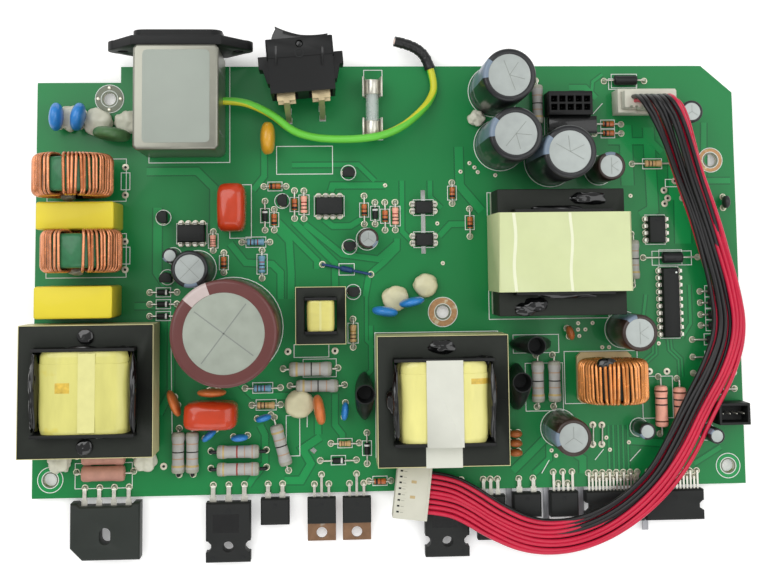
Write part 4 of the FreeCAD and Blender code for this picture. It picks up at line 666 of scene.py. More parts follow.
class Pile:
    """Points and faces gathered in millimetres for one piece, each face with its finish."""

    def __init__(self, name: str, *nodes: str) -> None:
        """Starts an empty pile for a piece that stands for some CAD nodes."""
        self.name = name
        self.nodes = nodes
        self.points: list[Vector] = []
        self.faces: list[tuple[int, ...]] = []
        self.marks: list[int] = []
        self.materials: list[bpy.types.Material] = []

    def add(
        self, points: Iterable[Vector], faces: Sequence[Sequence[int]], paints: "Paint | list[Paint]"
    ) -> None:
        """Adds points and faces between them.

        Args:
            points: New points.
            faces: Faces by the new points' own numbers.
            paints: One finish, or one for each face.
        """
        start = len(self.points)
        self.points.extend(points)
        each = paints if isinstance(paints, list) else [paints] * len(faces)
        for face, paint in zip(faces, each):
            material = palette.get(paint)
            if material not in self.materials:
                self.materials.append(material)
            self.faces.append(tuple(start + corner for corner in face))
            self.marks.append(self.materials.index(material))

    def skin(
        self, rings: Sequence[Sequence[Vector]], paints: "Paint | Sequence[Paint]", sector: Sector | None = None
    ) -> None:
        """Joins rings of points, where a ring of one point closes the form.

        Args:
            rings: The rings in order.
            paints: One finish, or one for each row between two rings.
            sector: A part that has another finish.
        """
        points, faces, chosen = [], [], []
        numbers = []
        for ring in rings:
            numbers.append(range(len(points), len(points) + len(ring)))
            points.extend(ring)
        for row, (lower, upper) in enumerate(zip(numbers, numbers[1:])):
            sides = max(len(lower), len(upper))
            for side in range(sides if sides > 1 else 0):
                after = (side + 1) % sides
                if len(lower) == 1:
                    face = (lower[0], upper[after], upper[side])
                elif len(upper) == 1:
                    face = (lower[side], lower[after], upper[0])
                else:
                    face = (lower[side], lower[after], upper[after], upper[side])
                faces.append(face)
                paint = paints[row] if isinstance(paints, (list, tuple)) else paints
                if sector and sector.holds(row, (side + 0.5) * 360 / sides):
                    paint = sector.paint
                chosen.append(paint)
        self.add(points, faces, chosen)

    def lathe(
        self, profile: Sequence[Pair], paints: "Paint | Sequence[Paint]", place: Matrix,
        sides: int = 32, sector: Sector | None = None,
    ) -> None:
        """Turns a profile about its place's Z.

        Args:
            profile: The radii and heights, in order.
            paints: One finish, or one for each step of the profile.
            place: Its middle and its axes.
            sides: The points round it.
            sector: A part that has another finish.
        """
        rings = []
        for radius, height in profile:
            spots = circle(radius, sides) if radius > 1e-6 else [(0.0, 0.0)]
            rings.append([place @ Vector((*spot, height)) for spot in spots])
        self.skin(rings, paints, sector)

    def sweep(
        self, route: Sequence[Vector], section: Sequence[Pair], paint: Paint,
        start: Vector = X_AXIS, scales: Sequence[float] | None = None,
    ) -> None:
        """Carries a section along a route and closes both ends.

        Args:
            route: The points of the route.
            section: The section's points across the route.
            paint: Its finish.
            start: The direction of the section's first axis at the start.
            scales: The section's size at each point, where it changes.
        """
        rings = []
        for index, (point, (across, beside)) in enumerate(zip(route, carried(route, start))):
            scale = scales[index] if scales else 1.0
            rings.append([point + across * (u * scale) + beside * (v * scale) for u, v in section])
        self.skin([[route[0]], *rings, [route[-1]]], paint)

    def tube(self, route: Sequence[Vector], radius: float, paint: Paint) -> None:
        """Carries a round section along a route."""
        self.sweep(route, circle(radius, 8), paint)

    def ribbon(self, route: Sequence[Vector], width: float, thickness: float, paint: Paint) -> None:
        """Carries a flat section along a route, with its width along X."""
        u, v = width / 2, thickness / 2
        self.sweep(route, [(u, v), (-u, v), (-u, -v), (u, -v)], paint)

    def closed(self, rings: Sequence[Sequence[Vector]], paint: Paint) -> None:
        """Joins rings and closes the first and the last at their middles."""
        ends = [[sum(ring, Vector()) / len(ring)] for ring in (rings[0], rings[-1])]
        self.skin([ends[0], *rings, ends[1]], paint)

    def block(
        self, low: Sequence[float], high: Sequence[float], paint: Paint, place: Matrix = Matrix()
    ) -> None:
        """A box between two corners of its place."""
        corners = rectangle(low[0], low[1], high[0], high[1])
        self.closed([[place @ Vector((x, y, z)) for x, y in corners] for z in (low[2], high[2])], paint)

    def slab(
        self, outline: Sequence[Pair], depth: float, paint: Paint, place: Matrix = Matrix()
    ) -> None:
        """A flat form.

        Args:
            outline: Its outline in its place's XY.
            depth: Its depth along Z.
            paint: Its finish.
            place: Where it lies.
        """
        count = len(outline)
        points = [place @ Vector((x, y, z)) for z in (0, depth) for x, y in outline]
        faces = [tuple(reversed(range(count))), tuple(range(count, 2 * count))]
        faces += [(side, (side + 1) % count, count + (side + 1) % count, count + side) for side in range(count)]
        self.add(points, faces, paint)

    def stroke(
        self, line: Sequence[Pair], width: float, z: float, paint: Paint, closed: bool = False,
        depth: float = 0.04,
    ) -> None:
        """Lays a flat strip of even width along a line in plan.

        Args:
            line: The points of the line.
            width: The strip's width.
            z: The height of its top.
            paint: Its finish.
            closed: Whether the line comes back to its first point.
            depth: How far its sides reach down.
        """
        corners = [Vector(point) for point in line]
        if closed:
            corners = [corners[-1], *corners, corners[0]]
        sides = []
        for index, corner in enumerate(corners):
            ways = []
            for first, last in ((index - 1, index), (index, index + 1)):
                if first >= 0 and last < len(corners) and (corners[last] - corners[first]).length > 1e-6:
                    ways.append((corners[last] - corners[first]).normalized())
            way = sum(ways, Vector((0, 0)))
            way = way.normalized() if way.length > 1e-6 else ways[0]
            reach = width / 2 / max(0.5, way.dot(ways[0]))
            sides.append(Vector((-way.y, way.x)) * reach)
        if closed:
            corners, sides = corners[1:], sides[1:]
            sides[-1] = sides[0]
        points, faces = [], []
        for corner, side in zip(corners, sides):
            left, right = corner + side, corner - side
            points += [(*left, z - depth), (*left, z), (*right, z), (*right, z - depth)]
        for index in range(len(corners) - 1):
            base = index * 4
            for step in range(3):
                faces.append((base + step, base + step + 4, base + step + 5, base + step + 1))
        self.add([Vector(point) for point in points], faces, paint)

    def puffed(
        self, place: Matrix, half: Sequence[float], paint: Paint, square: float = 2.0, ends: float = 2.0,
        lumps: float = 0.0, seed: float = 0.0, rows: int = 14, sides: int = 28,
    ) -> None:
        """A swollen form between an ellipsoid and a box.

        Args:
            place: Its middle and its axes.
            half: Half its length along each axis.
            paint: Its finish.
            square: How square it is in its place's XY, where two is an ellipse.
            ends: How square it is toward its place's Z.
            lumps: How far its surface wanders, as a share.
            seed: Which wandering it has.
            rows: Its rings.
            sides: The points in a ring.
        """
        rings = []
        for row in range(rows + 1):
            tilt = math.pi * (row / rows - 0.5)
            count = 1 if row in (0, rows) else sides
            ring = []
            for side in range(count):
                turn = 2 * math.pi * side / sides
                way = Vector((math.cos(tilt) * math.cos(turn), math.cos(tilt) * math.sin(turn), math.sin(tilt)))
                plan = (abs(way.x) ** square + abs(way.y) ** square) ** (1 / square)
                reach = (plan ** ends + abs(way.z) ** ends) ** (-1 / ends)
                reach *= 1 + lumps * noise.noise(way * 1.9 + Vector((seed, seed * 0.7, -seed)))
                ring.append(place @ Vector([part * size * reach for part, size in zip(way, half)]))
            rings.append(ring)
        self.skin(rings, paint)

    def piece(self, bevel_mm: float = 0.0, angle: float = 35.0) -> bpy.types.Object:
        """Makes the object, which rides on its first node's body and replaces its nodes.

        Args:
            bevel_mm: The width of its rounded edges, or zero.
            angle: The angle in degrees past which an edge stays hard.

        Returns:
            The finished piece.
        """
        mesh = bpy.data.meshes.new(self.name)
        mesh.from_pydata([point * MM for point in self.points], [], self.faces)
        for material in self.materials:
            mesh.materials.append(material)
        mesh.polygons.foreach_set("material_index", self.marks)
        made = shown(mesh, self.name, self.nodes[0])
        if bevel_mm:
            rounded_edges(made, bevel_mm)
        smooth(made.data, angle)
        return delivered(made, self.nodes)


class Grower(Wiring):
    """A geometry node tree whose repeats follow named inputs."""

    def __init__(self, name: str, inputs: dict[str, tuple[str, "float | int | tuple"]]) -> None:
        """Makes a tree with named inputs.

        Args:
            name: The tree's name.
            inputs: The kind and the value of each input, by its name.
        """
        tree = bpy.data.node_groups.new(name, "GeometryNodeTree")
        tree.is_modifier = True
        super().__init__(tree)
        tree.interface.new_socket("Geometry", in_out="INPUT", socket_type="NodeSocketGeometry")
        tree.interface.new_socket("Geometry", in_out="OUTPUT", socket_type="NodeSocketGeometry")
        self.values: dict[str, object] = {}
        for label, (kind, value) in inputs.items():
            made = tree.interface.new_socket(label, in_out="INPUT", socket_type="NodeSocket" + kind)
            self.values[made.identifier] = value
        self.given = {signal.socket.name: signal for signal in self.node("NodeGroupInput")}

    def grown(
        self, geometry: Signal, finish: Paint, name: str, node: str, seeds: Sequence[Vector] = (Vector(),),
        reach: Sequence[float] = (),
    ) -> bpy.types.Object:
        """Ends the tree, applies it to a piece and gives the plain mesh.

        Args:
            geometry: The instances.
            finish: Their finish.
            name: The piece's name.
            node: The CAD node that it stands for.
            seeds: Points in millimetres that the tree starts from.
            reach: A size in millimetres for each of them.

        Returns:
            The piece, with no modifier left on it.
        """
        real = self.node("GeometryNodeRealizeInstances", {"Geometry": geometry})[0]
        coloured = self.node("GeometryNodeSetMaterial", {"Geometry": real, "Material": palette.get(finish)})[0]
        self.node("NodeGroupOutput", {"Geometry": coloured})
        mesh = bpy.data.meshes.new(name)
        mesh.from_pydata([point * MM for point in seeds], [], [])
        if reach:
            sizes = mesh.attributes.new("reach", "FLOAT", "POINT")
            sizes.data.foreach_set("value", [value * MM for value in reach])
        piece = shown(mesh, name, node)
        modifier = piece.modifiers.new("grown", "NODES")
        modifier.node_group = self.tree
        for identifier, value in self.values.items():
            modifier[identifier] = value
        applied(piece)
        smooth(piece.data)
        return delivered(piece, (node,))


class Studio:
    """Floor, lights and the camera that stands where the photograph was taken from."""

    FOCAL_PX = 1166.4
    CENTRE_PX = (389.75, 166.5)
    EYE_MM = (-24.57, 73.10, 423.4)
    TILT_DEG = (-4.9, -3.25, -0.38)
    SENSOR_MM = 36.0
    SOFTBOXES = (((-0.45, 0.45, 0.85), 0.8, 5.0), ((0.55, 0.15, 0.8), 0.8, 3.0), ((0.0, -0.6, 0.7), 0.7, 2.0))
    SKY = 0.55
    AIM = (0.0, 0.06, 0.0)
    FLOOR_REACH = 3.0
    FLOOR_GLOW = (0.22, 0.22, 0.22, 1.0)

    def camera(self) -> None:
        """Makes the camera."""
        data = bpy.data.cameras.new("camera")
        data.sensor_width = self.SENSOR_MM
        data.lens = self.FOCAL_PX * self.SENSOR_MM / IMAGE_WIDTH
        data.shift_x = (IMAGE_WIDTH / 2 - self.CENTRE_PX[0]) / IMAGE_WIDTH
        data.shift_y = (self.CENTRE_PX[1] - IMAGE_HEIGHT / 2) / IMAGE_WIDTH
        data.clip_start = 0.01
        data.clip_end = 20
        camera = placed("camera", data)
        turn_x, turn_y, turn_z = (math.radians(value) for value in self.TILT_DEG)
        right, down, forward = (
            Matrix.Rotation(turn_z, 3, "Z") @ Matrix.Rotation(turn_y, 3, "Y") @ Matrix.Rotation(turn_x, 3, "X")
            @ Matrix(((1, 0, 0), (0, -1, 0), (0, 0, -1)))
        )
        pose = Matrix((right, -down, -forward)).transposed().to_4x4()
        pose.translation = Vector(self.EYE_MM) * MM
        camera.matrix_world = pose
        bpy.context.scene.camera = camera

    def floor_and_lights(self) -> None:
        """Lays the floor, lights it and sets the plain view."""
        mesh = bpy.data.meshes.new("floor")
        reach = self.FLOOR_REACH
        corners = rectangle(-reach, -reach, reach, reach)
        mesh.from_pydata([(x, y, GROUND * MM) for x, y in corners], [], [(0, 1, 2, 3)])
        mesh.materials.append(self._floor_material())
        placed("floor", mesh)
        world = bpy.data.worlds.new("sky")
        world.use_nodes = True
        sky = world.node_tree.nodes["Background"]
        sky.inputs[0].default_value = (1, 1, 1, 1)
        sky.inputs[1].default_value = self.SKY
        bpy.context.scene.world = world
        for index, (place, side, power) in enumerate(self.SOFTBOXES):
            data = bpy.data.lights.new(f"softbox_{index}", "AREA")
            data.shape = "SQUARE"
            data.size = side
            data.energy = power
            light = placed(f"softbox_{index}", data)
            light.location = place
            light.rotation_euler = (Vector(self.AIM) - Vector(place)).to_track_quat("-Z", "Y").to_euler()
        bpy.context.scene.view_settings.view_transform = "Standard"

    def _floor_material(self) -> bpy.types.Material:
        """White paper that a little of its own light keeps white to the camera, with the shadow on it."""
        painter = Painter("paper_floor")
        patch = painter.noise(60, 2.0)
        painter.drive("Base Color", painter.mix(patch, linear("f7f7f5"), linear("ffffff")))
        painter.drive("Roughness", 0.9)
        rays = painter.node("ShaderNodeLightPath")
        seen = (rays[0] + rays[3]).kept()
        painter.drive("Emission Color", painter.mix(seen, (0.0, 0.0, 0.0, 1.0), self.FLOOR_GLOW))
        painter.drive("Emission Strength", 1.0)
        return painter.material


def nurbs_line(route_mm: Sequence[Triple], name: str) -> list[Vector]:
    """Reads the points of a route's smooth line.

    Args:
        route_mm: The route's given points in millimetres.
        name: The name of the curve, which is removed again.

    Returns:
        The points in millimetres.
    """
    data = bpy.data.curves.new(name, "CURVE")
    data.dimensions = "3D"
    data.resolution_u = 12
    spline = data.splines.new("NURBS")
    spline.points.add(len(route_mm) - 1)
    for point, place in zip(spline.points, route_mm):
        point.co = (*(Vector(place) * MM), 1.0)
    spline.order_u = 3
    spline.use_endpoint_u = True
    guide = placed(name, data)
    graph = bpy.context.evaluated_depsgraph_get()
    line = bpy.data.meshes.new_from_object(guide.evaluated_get(graph))
    points = [vertex.co / MM for vertex in line.vertices]
    bpy.data.objects.remove(guide)
    return points


@dataclass
class Harness:
    """Two flat bundles of eight insulated wires from the fitted plug to the free one."""

    strand_radius: float = 0.76
    pitches: Pair = (1.3, 1.85)
    fans: Pair = (30.0, 80.0)
    layer_rise: float = 0.72
    layer_shift: float = 0.42
    wander: float = 0.5
    ripple: float = 0.22
    crossing_share: float = 0.2
    settling: float = 16.0
    plug_turn: float = -7.0
    plug_middle: Pair = (5.6, -5.2)
    routes: dict[str, tuple[Triple, ...]] = field(default_factory=lambda: {
        "harness_black": (
            (89.3, 131.85, 15.6), (89.3, 131.85, 21.2), (91.0, 128.0, 25.2), (94.2, 121.6, 24.4),
            (98.6, 113.2, 19.4), (103.2, 103.4, 14.6), (108.4, 91.6, 11.6), (112.6, 78.0, 10.2),
            (116.2, 64.2, 9.9), (117.9, 49.6, 9.8), (113.0, 36.4, 9.8), (105.3, 23.4, 9.8), (98.4, 10.6, 9.8),
            (91.2, -0.9, 9.6), (80.6, -10.4, 9.2), (69.6, -16.6, 8.8), (58.0, -19.6, 8.6), (46.6, -18.8, 8.6),
            (36.0, -13.8, 8.4), (26.8, -7.6, 8.3), (18.92, -3.41, 8.25), (11.97, -2.56, 8.25),
        ),
        "harness_red": (
            (95.7, 131.85, 15.6), (95.7, 131.85, 21.4), (97.7, 128.0, 25.6), (100.5, 121.8, 25.2),
            (104.6, 112.6, 20.4), (109.0, 102.6, 15.4), (113.9, 90.8, 12.2), (118.1, 77.6, 10.6),
            (121.5, 63.8, 10.1), (123.3, 49.0, 10.0), (118.6, 34.6, 10.0), (110.4, 20.8, 10.0),
            (103.6, 7.0, 10.0), (95.2, -4.8, 9.8), (84.0, -15.0, 9.4), (72.0, -21.9, 9.0), (58.6, -25.3, 8.8),
            (45.2, -24.2, 8.8), (33.4, -18.6, 8.8), (24.6, -12.9, 8.4), (18.09, -10.16, 8.25),
            (11.14, -9.31, 8.25),
        ),
    })
    lengths: dict[str, float] = field(default_factory=lambda: {"harness_black": 0.2424, "harness_red": 0.2515})
    mixes: dict[str, tuple[tuple[Finish, ...], float]] = field(default_factory=lambda: {
        "harness_black": ((WIRE_BLACK, WIRE_RED) * 4, 0.78),
        "harness_red": ((WIRE_BLACK, WIRE_RED) * 3 + (WIRE_RED, WIRE_RED), 0.26),
    })

    def build(self) -> None:
        plugs = polished("harness_plugs", NYLON, 0.2)
        ribs = self._ribs()
        for node in self.routes:
            line = nurbs_line(self.routes[node], node + "_guide")
            piece = self._bundle(node, line)

    def _ribs(self) -> bpy.types.Object:
        """The wire windows, their dark insides painted shade, and ribs on the free plug's upper face."""
        plug = min(solids("harness_plugs"), key=lambda solid: solid.middle.y)
        place = at(*self.plug_middle, plug.high.z) @ Matrix.Rotation(math.radians(self.plug_turn), 4, "Z")
        pile = Pile("free_plug_ribs", "harness_plugs")
        for index in range(8):
            y = (index - 3.5) * 2.0
            # Near-black blocks: painted shade inside each wire window.
            pile.block((-5.0, y - 0.3, -0.02), (-4.1, y + 0.3, 0.05), DARK_MARK_AND_HOLE_SHADE, place)
            pile.block((-4.0, y + 0.55, -0.02), (-2.0, y + 0.75, 0.12), NYLON, place)
            pile.block((-3.7, y - 0.2, -0.02), (-2.6, y + 0.0, 0.04), GREY_END, place)
        for y in (-1.6, 3.6):
            pile.block((-0.8, y - 0.5, -0.02), (1.0, y + 0.5, 0.04), BEIGE, place)
        pile.block((5.0, -8.6, -0.02), (5.4, 8.6, 0.14), NYLON, place)
        return pile.piece(0.03)

    def _bundle(self, node: str, line: list[Vector]) -> bpy.types.Object:
        """One bundle of two layers that change places once, so that red lies on top toward the free plug.

        Args:
            node: The CAD node it stands for.
            line: The points of its route.

        Returns:
            The finished piece.
        """
        pile = Pile(node + "_wires", node)
        travelled = [0.0]
        for before, after in zip(line, line[1:]):
            travelled.append(travelled[-1] + (after - before).length)
        whole = travelled[-1]
        frames = []
        for index, done in enumerate(travelled):
            ahead = (line[min(index + 1, len(line) - 1)] - line[max(index - 1, 0)]).normalized()
            flat = Vector((-ahead.y, ahead.x, 0))
            blend = min(1.0, done / self.settling)
            beside = (X_AXIS * (1 - blend) + flat * blend).normalized()
            frames.append((beside, ahead.cross(beside).normalized()))
        colours, crossing = self.mixes[node]
        for strand, paint in enumerate(colours):
            column, upper = strand // 2 - 1.5, 1 - 2 * (strand % 2)
            place = random.Random(node + str(strand))
            phase, drift = place.uniform(0, 6.28), place.uniform(0.8, 1.3)
            route = []
            for point, done, (beside, over) in zip(line, travelled, frames):
                first = max(0.0, 1 - done / self.fans[0]) ** 1.5
                last = max(0.0, 1 - (whole - done) / self.fans[1]) ** 1.5
                calm = 1 - max(first, last)
                share = min(1.0, max(0.0, (done / whole - crossing) / self.crossing_share + 0.5))
                level = upper * (1 - 2 * share * share * (3 - 2 * share))
                pitch = self.pitches[0] * calm + self.pitches[1] * (1 - calm)
                wander = self.wander * math.sin(done / 24 * drift + phase) * calm
                side = column * pitch + wander - self.layer_shift * upper
                rise = self.layer_rise * level + self.ripple * math.sin(done / 19 + phase * 2) * calm
                route.append(point + beside * side + over * rise)
            pile.tube(route, self.strand_radius, paint)
        return pile.piece(angle=60)


@dataclass
class EarthLead:
    """Green wire with a yellow stripe, its crimp end in a wrinkled black sleeve."""

    radius: float = 1.4
    length: float = 0.0959
    sleeve_radius: float = 2.1
    sides: int = 16
    stripe_deg: float = 120.0
    twist_deg: float = 300.0
    route: tuple[Triple, ...] = (
        (-59.9, 132.2, 10.6), (-53.9, 132.2, 10.6), (-47.6, 130.0, 10.0), (-41.4, 126.6, 9.4),
        (-35.8, 121.6, 8.8), (-28.6, 119.2, 8.8), (-20.4, 118.4, 9.8), (-11.8, 118.3, 11.6),
        (-3.2, 119.4, 12.0), (4.2, 123.0, 10.0), (10.0, 128.0, 7.2), (14.2, 132.8, 5.0), (16.4, 138.6, 3.75),
        (14.5, 144.6, 3.75),
    )
    sleeve_route: tuple[Triple, ...] = (
        (14.5, 144.6, 3.75), (13.14, 148.89, 3.75), (9.9, 152.1, 4.2), (5.2, 153.9, 4.9), (1.4, 154.6, 5.5),
    )

    def build(self) -> None:
        line = nurbs_line(self.route, "earth_guide")
        wire = Pile("earth_lead", "earth_wire")
        rings = []
        for index, (point, (across, beside)) in enumerate(zip(line, carried(line, Z_AXIS))):
            twist = math.radians(self.twist_deg * index / len(line))
            spots = circle(self.radius, self.sides, twist)
            rings.append([point + across * u + beside * v for u, v in spots])
        stripe = Sector(0.0, self.stripe_deg, (0, len(rings)), WIRE_YELLOW)
        wire.skin([[line[0]], *rings, [line[-1]]], WIRE_GREEN, stripe)
        lead = wire.piece(angle=60)
        sleeve_line = nurbs_line(self.sleeve_route, "sleeve_guide")
        sleeve = Pile("earth_lead_sleeve", "earth_wire_sleeve")
        steps = range(len(sleeve_line))
        scales = [0.93 + 0.06 * math.sin(step * 1.35) * math.cos(step * 0.4) for step in steps]
        scales[0] = scales[-1] = 0.9
        sleeve.sweep(sleeve_line, circle(self.sleeve_radius, self.sides), WRINKLED, scales=scales)
        end = sleeve_line[-1]
        way = (sleeve_line[-1] - sleeve_line[-2]).normalized()
        sleeve.lathe([(0.0, -1.0), (1.15, -1.0), (1.15, 0.02), (0.0, 0.02)], COPPER, facing(end, way), 14)
        cover = sleeve.piece(angle=50)


@dataclass
class CircuitBoard:
    """The laminate with its mask, tracks, ink, pads and solder."""

    hole_spots: tuple[Pair, ...] = (
        (28.6, 110.3), (30.4, 108.7), (31.6, 107.0), (25.3, 107.2), (38.0, 105.8), (87.8, 97.9), (16.5, 88.4),
        (18.3, 74.0), (67.2, 51.8), (67.1, 49.5), (69.8, 49.5), (67.5, 47.2), (72.5, 51.8), (63.0, 50.0),
        (75.8, 43.0), (78.3, 43.0), (76.4, 10.8), (77.6, 6.5), (74.4, 8.5), (56.4, 6.7), (58.0, 4.8),
        (84.6, 9.0), (98.4, 8.7), (96.6, 44.1), (-2.3, 102.4),
    )
    spare_pads: tuple[Pair, ...] = (
        (-95.5, 109.6), (-95.5, 99.6), (-95.5, 83.0), (-95.4, 73.0), (104.5, 103.2), (100.3, 99.8),
        (108.1, 99.7), (101.6, 96.9), (107.1, 96.9), (100.4, 94.9), (108.5, 94.8), (-37.7, 43.2),
        (-20.9, 43.2), (92.9, 34.1), (99.3, 34.0), (-81.4, 3.9), (71.6, 15.4), (71.4, 8.5), (74.9, 15.3),
        (74.7, 8.5),
    )
    tracks: tuple[tuple[float, tuple[Pair, ...]], ...] = (
        (2.2, ((-2.3, 102.4), (-21.3, 102.5), (-22.0, 100.3))),
        (2.0, ((-41, 89.6), (-27.2, 75.5), (-27.2, 72.5))),
        (2.2, ((-35.3, 89.5), (-20.7, 74.6), (-20.7, 64.7))),
        (2.0, ((-31.4, 88.6), (-18, 77.6), (-5, 75.7), (2.1, 81.8))),
        (2.0, ((-24.5, 90.3), (-21.4, 87.8), (-14.9, 87.8), (-11, 90.2))),
        (2.2, ((-58.2, 81.9), (-52.7, 75), (-43.2, 74.4), (-40.2, 71.4), (-40.2, 61.9))),
        (2.4, ((-42.7, 88.7), (-37.1, 82.6), (-36.4, 71.3), (-36.5, 61.9))),
        (2.0, ((-9.9, 62.4), (-8.5, 70.1), (-3.3, 74.4), (2, 79.6))),
        (3.0, ((24.7, 116.3), (24.9, 102.1), (32.7, 92.8))),
        (2.0, ((17.1, 83.8), (21.2, 88.1), (26.9, 88.1))), (2.0, ((1.8, 83.1), (1.7, 79.6), (-0.9, 77.4))),
        (1.6, ((3.8, 104.1), (3.7, 85.7), (6.6, 82.6))), (4.0, ((95.2, 123.1), (96, 92.7), (91.5, 90.1))),
        (6.0, ((107.1, 96.2), (106.9, 80.2))), (5.0, ((104.7, 111.4), (104.7, 96.2))),
        (4.5, ((86.6, 124), (86.9, 101.7))), (2.0, ((116.1, 124.8), (115.3, 103.2), (125.3, 103.2))),
        (1.0, ((78.6, 142.9), (74.9, 140.2), (74.3, 134.8))),
        (1.0, ((-9.5, 63.1), (-9.6, 46.7), (-7.1, 44.1))),
        (2.2, ((-57, 34.7), (-50.1, 27.8), (-29.6, 27.4), (-27.1, 20.6), (-27.1, 13.9))),
        (2.6, ((-26.3, 13), (-32.7, 8.9), (-29.7, 3.8), (-33.2, -2), (-39.1, -1.9))),
        (2.2, ((-47.6, 17.6), (-45.9, 14.2), (-45.9, 4.1), (-50.2, -0.8), (-51.9, -3.3))),
        (2.0, ((-21, 28.1), (-21.1, 17.1), (-18.5, 13.7), (-18.6, 8.6))), (1.2, ((-5.7, 13.4), (-4.9, 3.3))),
        (0.6, ((94.5, 44.3), (94.4, 40.8), (89.8, 37))), (0.6, ((95.7, 44.3), (95.7, 40.3), (90.8, 36.2))),
        (0.6, ((99.9, 46), (100.2, 41.6), (103.7, 38.1), (103.9, 32))),
        (0.6, ((101.1, 46), (101.4, 42), (104.9, 38.5), (105.1, 32))),
        *((0.6, ((x, 15.2), (x, -1))) for x in (77.3, 79.0, 80.8, 82.5, 84.3)),
        (2.6, ((53.9, 10.6), (46.8, 3.9), (42.3, -0.2))), (2.0, ((55.6, 8.8), (55.5, 3.7), (50.1, -1.2))),
        (2.5, ((65.1, 5.2), (67.7, 3.5), (67.6, -1.6))), (2.4, ((84.6, 9.6), (97.8, 8.4), (100.4, 6.2))),
        (1.6, ((118.2, 6.7), (108.2, 0.9))), (1.0, ((92.4, 61.8), (90.1, 46.1), (93.1, 42.2))),
        (1.0, ((108.6, 65.1), (108.6, 51.1), (105.3, 45.9))),
        (2.6, ((-88, 108), (-70, 108), (-64, 102), (-64, 84))), (3.0, ((-84, 95), (-84, 72), (-80, 66))),
        (2.2, ((-92, 60), (-79, 60), (-79, 30), (-83, 22))), (1.6, ((-36, 110), (-12, 110), (-6, 104))),
        (1.6, ((14, 104), (14, 98), (18, 94))), (2.0, ((-46, 116), (-46, 106), (-50, 101))),
        (1.4, ((-8, 52), (-8, 36), (-12, 32))), (2.0, ((66, 138), (72, 138), (76, 134))),
        (2.2, ((80, 118), (96, 118), (100, 114))),
    )
    ink_lines: tuple[tuple[Pair, ...], ...] = (
        ((-58.3, 145.9), (-58.3, 111.1), (-87.2, 111.1), (-87.2, 113.9)),
        ((78.3, 132.1), (74.6, 128.1)), ((-79.1, 52.9), (-78.5, 14.9)), ((-30.9, 22.4), (-31, 16.5)),
        ((75.3, 6.7), (72.1, 3)), ((88.9, 6.5), (84.8, 2.3)), ((55.5, 3.3), (52.7, -1.3)),
    )
    ink_boxes: tuple[Quad, ...] = (
        (-58.3, 83.8, -50.6, 103.0), (-41.5, 106.7, -21.3, 116.8), (-123.1, 97.4, -95.2, 112.6),
        (-123.1, 70.3, -95.0, 85.8), (-97.0, 101.5, -93.9, 107.6), (-96.8, 75.0, -93.7, 81.0),
        (100.9, 101.1, 107.6, 103.8), (80.8, 137.3, 91.1, 141.3), (95.1, 72.4, 109.7, 77.5),
        (-35.5, 41.1, -23.1, 45.6), (-38.4, 6.6, -33.6, 20.7), (-32.3, 34.1, -20.5, 40.4),
        (-112.1, -3.2, -92.3, 5.5), (43.3, 41.4, 59.9, 47.9), (61.8, 23.1, 88.5, 41.7),
        (90.1, 17.4, 101.2, 32.3), (47.5, 20.7, 61.1, 37.7), (34.8, 53.6, 78.6, 99.4),
        (-6.6, 5.4, 37.8, 49.4), (-9.7, 135.1, -3.0, 144.6), (-9.7, 119.0, -3.0, 125.3),
    )
    boxed_nodes: tuple[str, ...] = ("small_resistors", "diodes", "ic_packages")
    ringed_nodes: tuple[str, ...] = (
        "output_capacitors", "small_capacitors", "bulk_capacitor", "small_transistors",
    )
    fixings: tuple[tuple[float, float, float, float, Finish], ...] = (
        (-120.65, 0.0, 3.0, 4.2, TRACK_MASK), (120.65, 0.0, 3.0, 4.2, TRACK_MASK),
        (-101.4, 134.35, 3.1, 4.9, RING_GREY), (18.0, 56.5, 3.1, 5.1, BARE_COPPER),
        (118.0, 110.85, 3.1, 4.3, BARE_COPPER),
    )
    cut_corner: Pair = (12.0, 11.0)
    notch_depth: float = 6.5
    bore: float = 2.26
    box_margin: float = 0.45
    ring_margin: float = 0.5
    lead_rim: float = 1.2
    pin_rim: float = 1.4
    head_rim: float = 0.8
    pad_rim: float = 1.25
    via_rim: float = 0.75

    def build(self) -> None:
        """Makes the board and everything printed, plated or soldered on it."""
        polished("circuit_board", GREEN_MASK, 0.0, self._edge)
        self._copper()
        self._ink()
        self._rings()
        leads = [self._foot(solid) for solid in solids("component_leads")]
        pins = [solid.stand().translation for solid in solids("solder_pins")]
        heads = [solid.stand().translation for solid in solids("header_pins")]
        seats = leads + pins + heads
        rims = [self.lead_rim] * len(leads) + [self.pin_rim] * len(pins) + [self.head_rim] * len(heads)
        spare, vias = ([Vector((*spot, 0)) for spot in spots] for spots in (self.spare_pads, self.hole_spots))
        above = [point + Z_AXIS * (TOP + 0.2) for point in seats + spare + vias]
        below = [point - Z_AXIS * 0.12 for point in seats + spare + vias]
        sizes = rims + [self.pad_rim] * len(spare) + [self.via_rim] * len(vias)
        self._fillets("board_pads", above, sizes, 0.05, 0.8, 0.0, PAD)
        self._fillets("board_pads_below", below, sizes, 0.05, 0.8, math.pi, PAD)
        collars, cones = [p + Z_AXIS * (TOP + 0.22) for p in leads], [p - Z_AXIS * 0.14 for p in seats]
        self._fillets("top_fillets", collars, [0.95] * len(leads), 0.9, 0.42, 0.0, SOLDER)
        self._fillets("solder_joints", cones, [rim * 0.9 for rim in rims], 1.1, 0.32, math.pi, SOLDER)
        # Black discs over the open via and pad holes: painted shade inside the holes.
        holes = Pile("via_hole_shade", "circuit_board")
        for spot in spare + vias:
            wide = 0.5 if spot in spare else 0.22
            holes.lathe([(wide, 0.0), (wide, 0.03), (0, 0.03)], DARK_MARK_AND_HOLE_SHADE, at(spot.x, spot.y, TOP + 0.24), 12)
        holes.piece()

    @staticmethod
    def _foot(solid: Solid) -> Vector:
        """Where a lead goes into the board."""
        if solid.low.y < FRONT:
            return Vector((solid.middle.x, solid.high.y - STRAP_BEND, 0))
        low = solid.points[solid.points[:, 2] < solid.low.z + 0.1]
        return Vector((*low[:, :2].mean(0), 0))

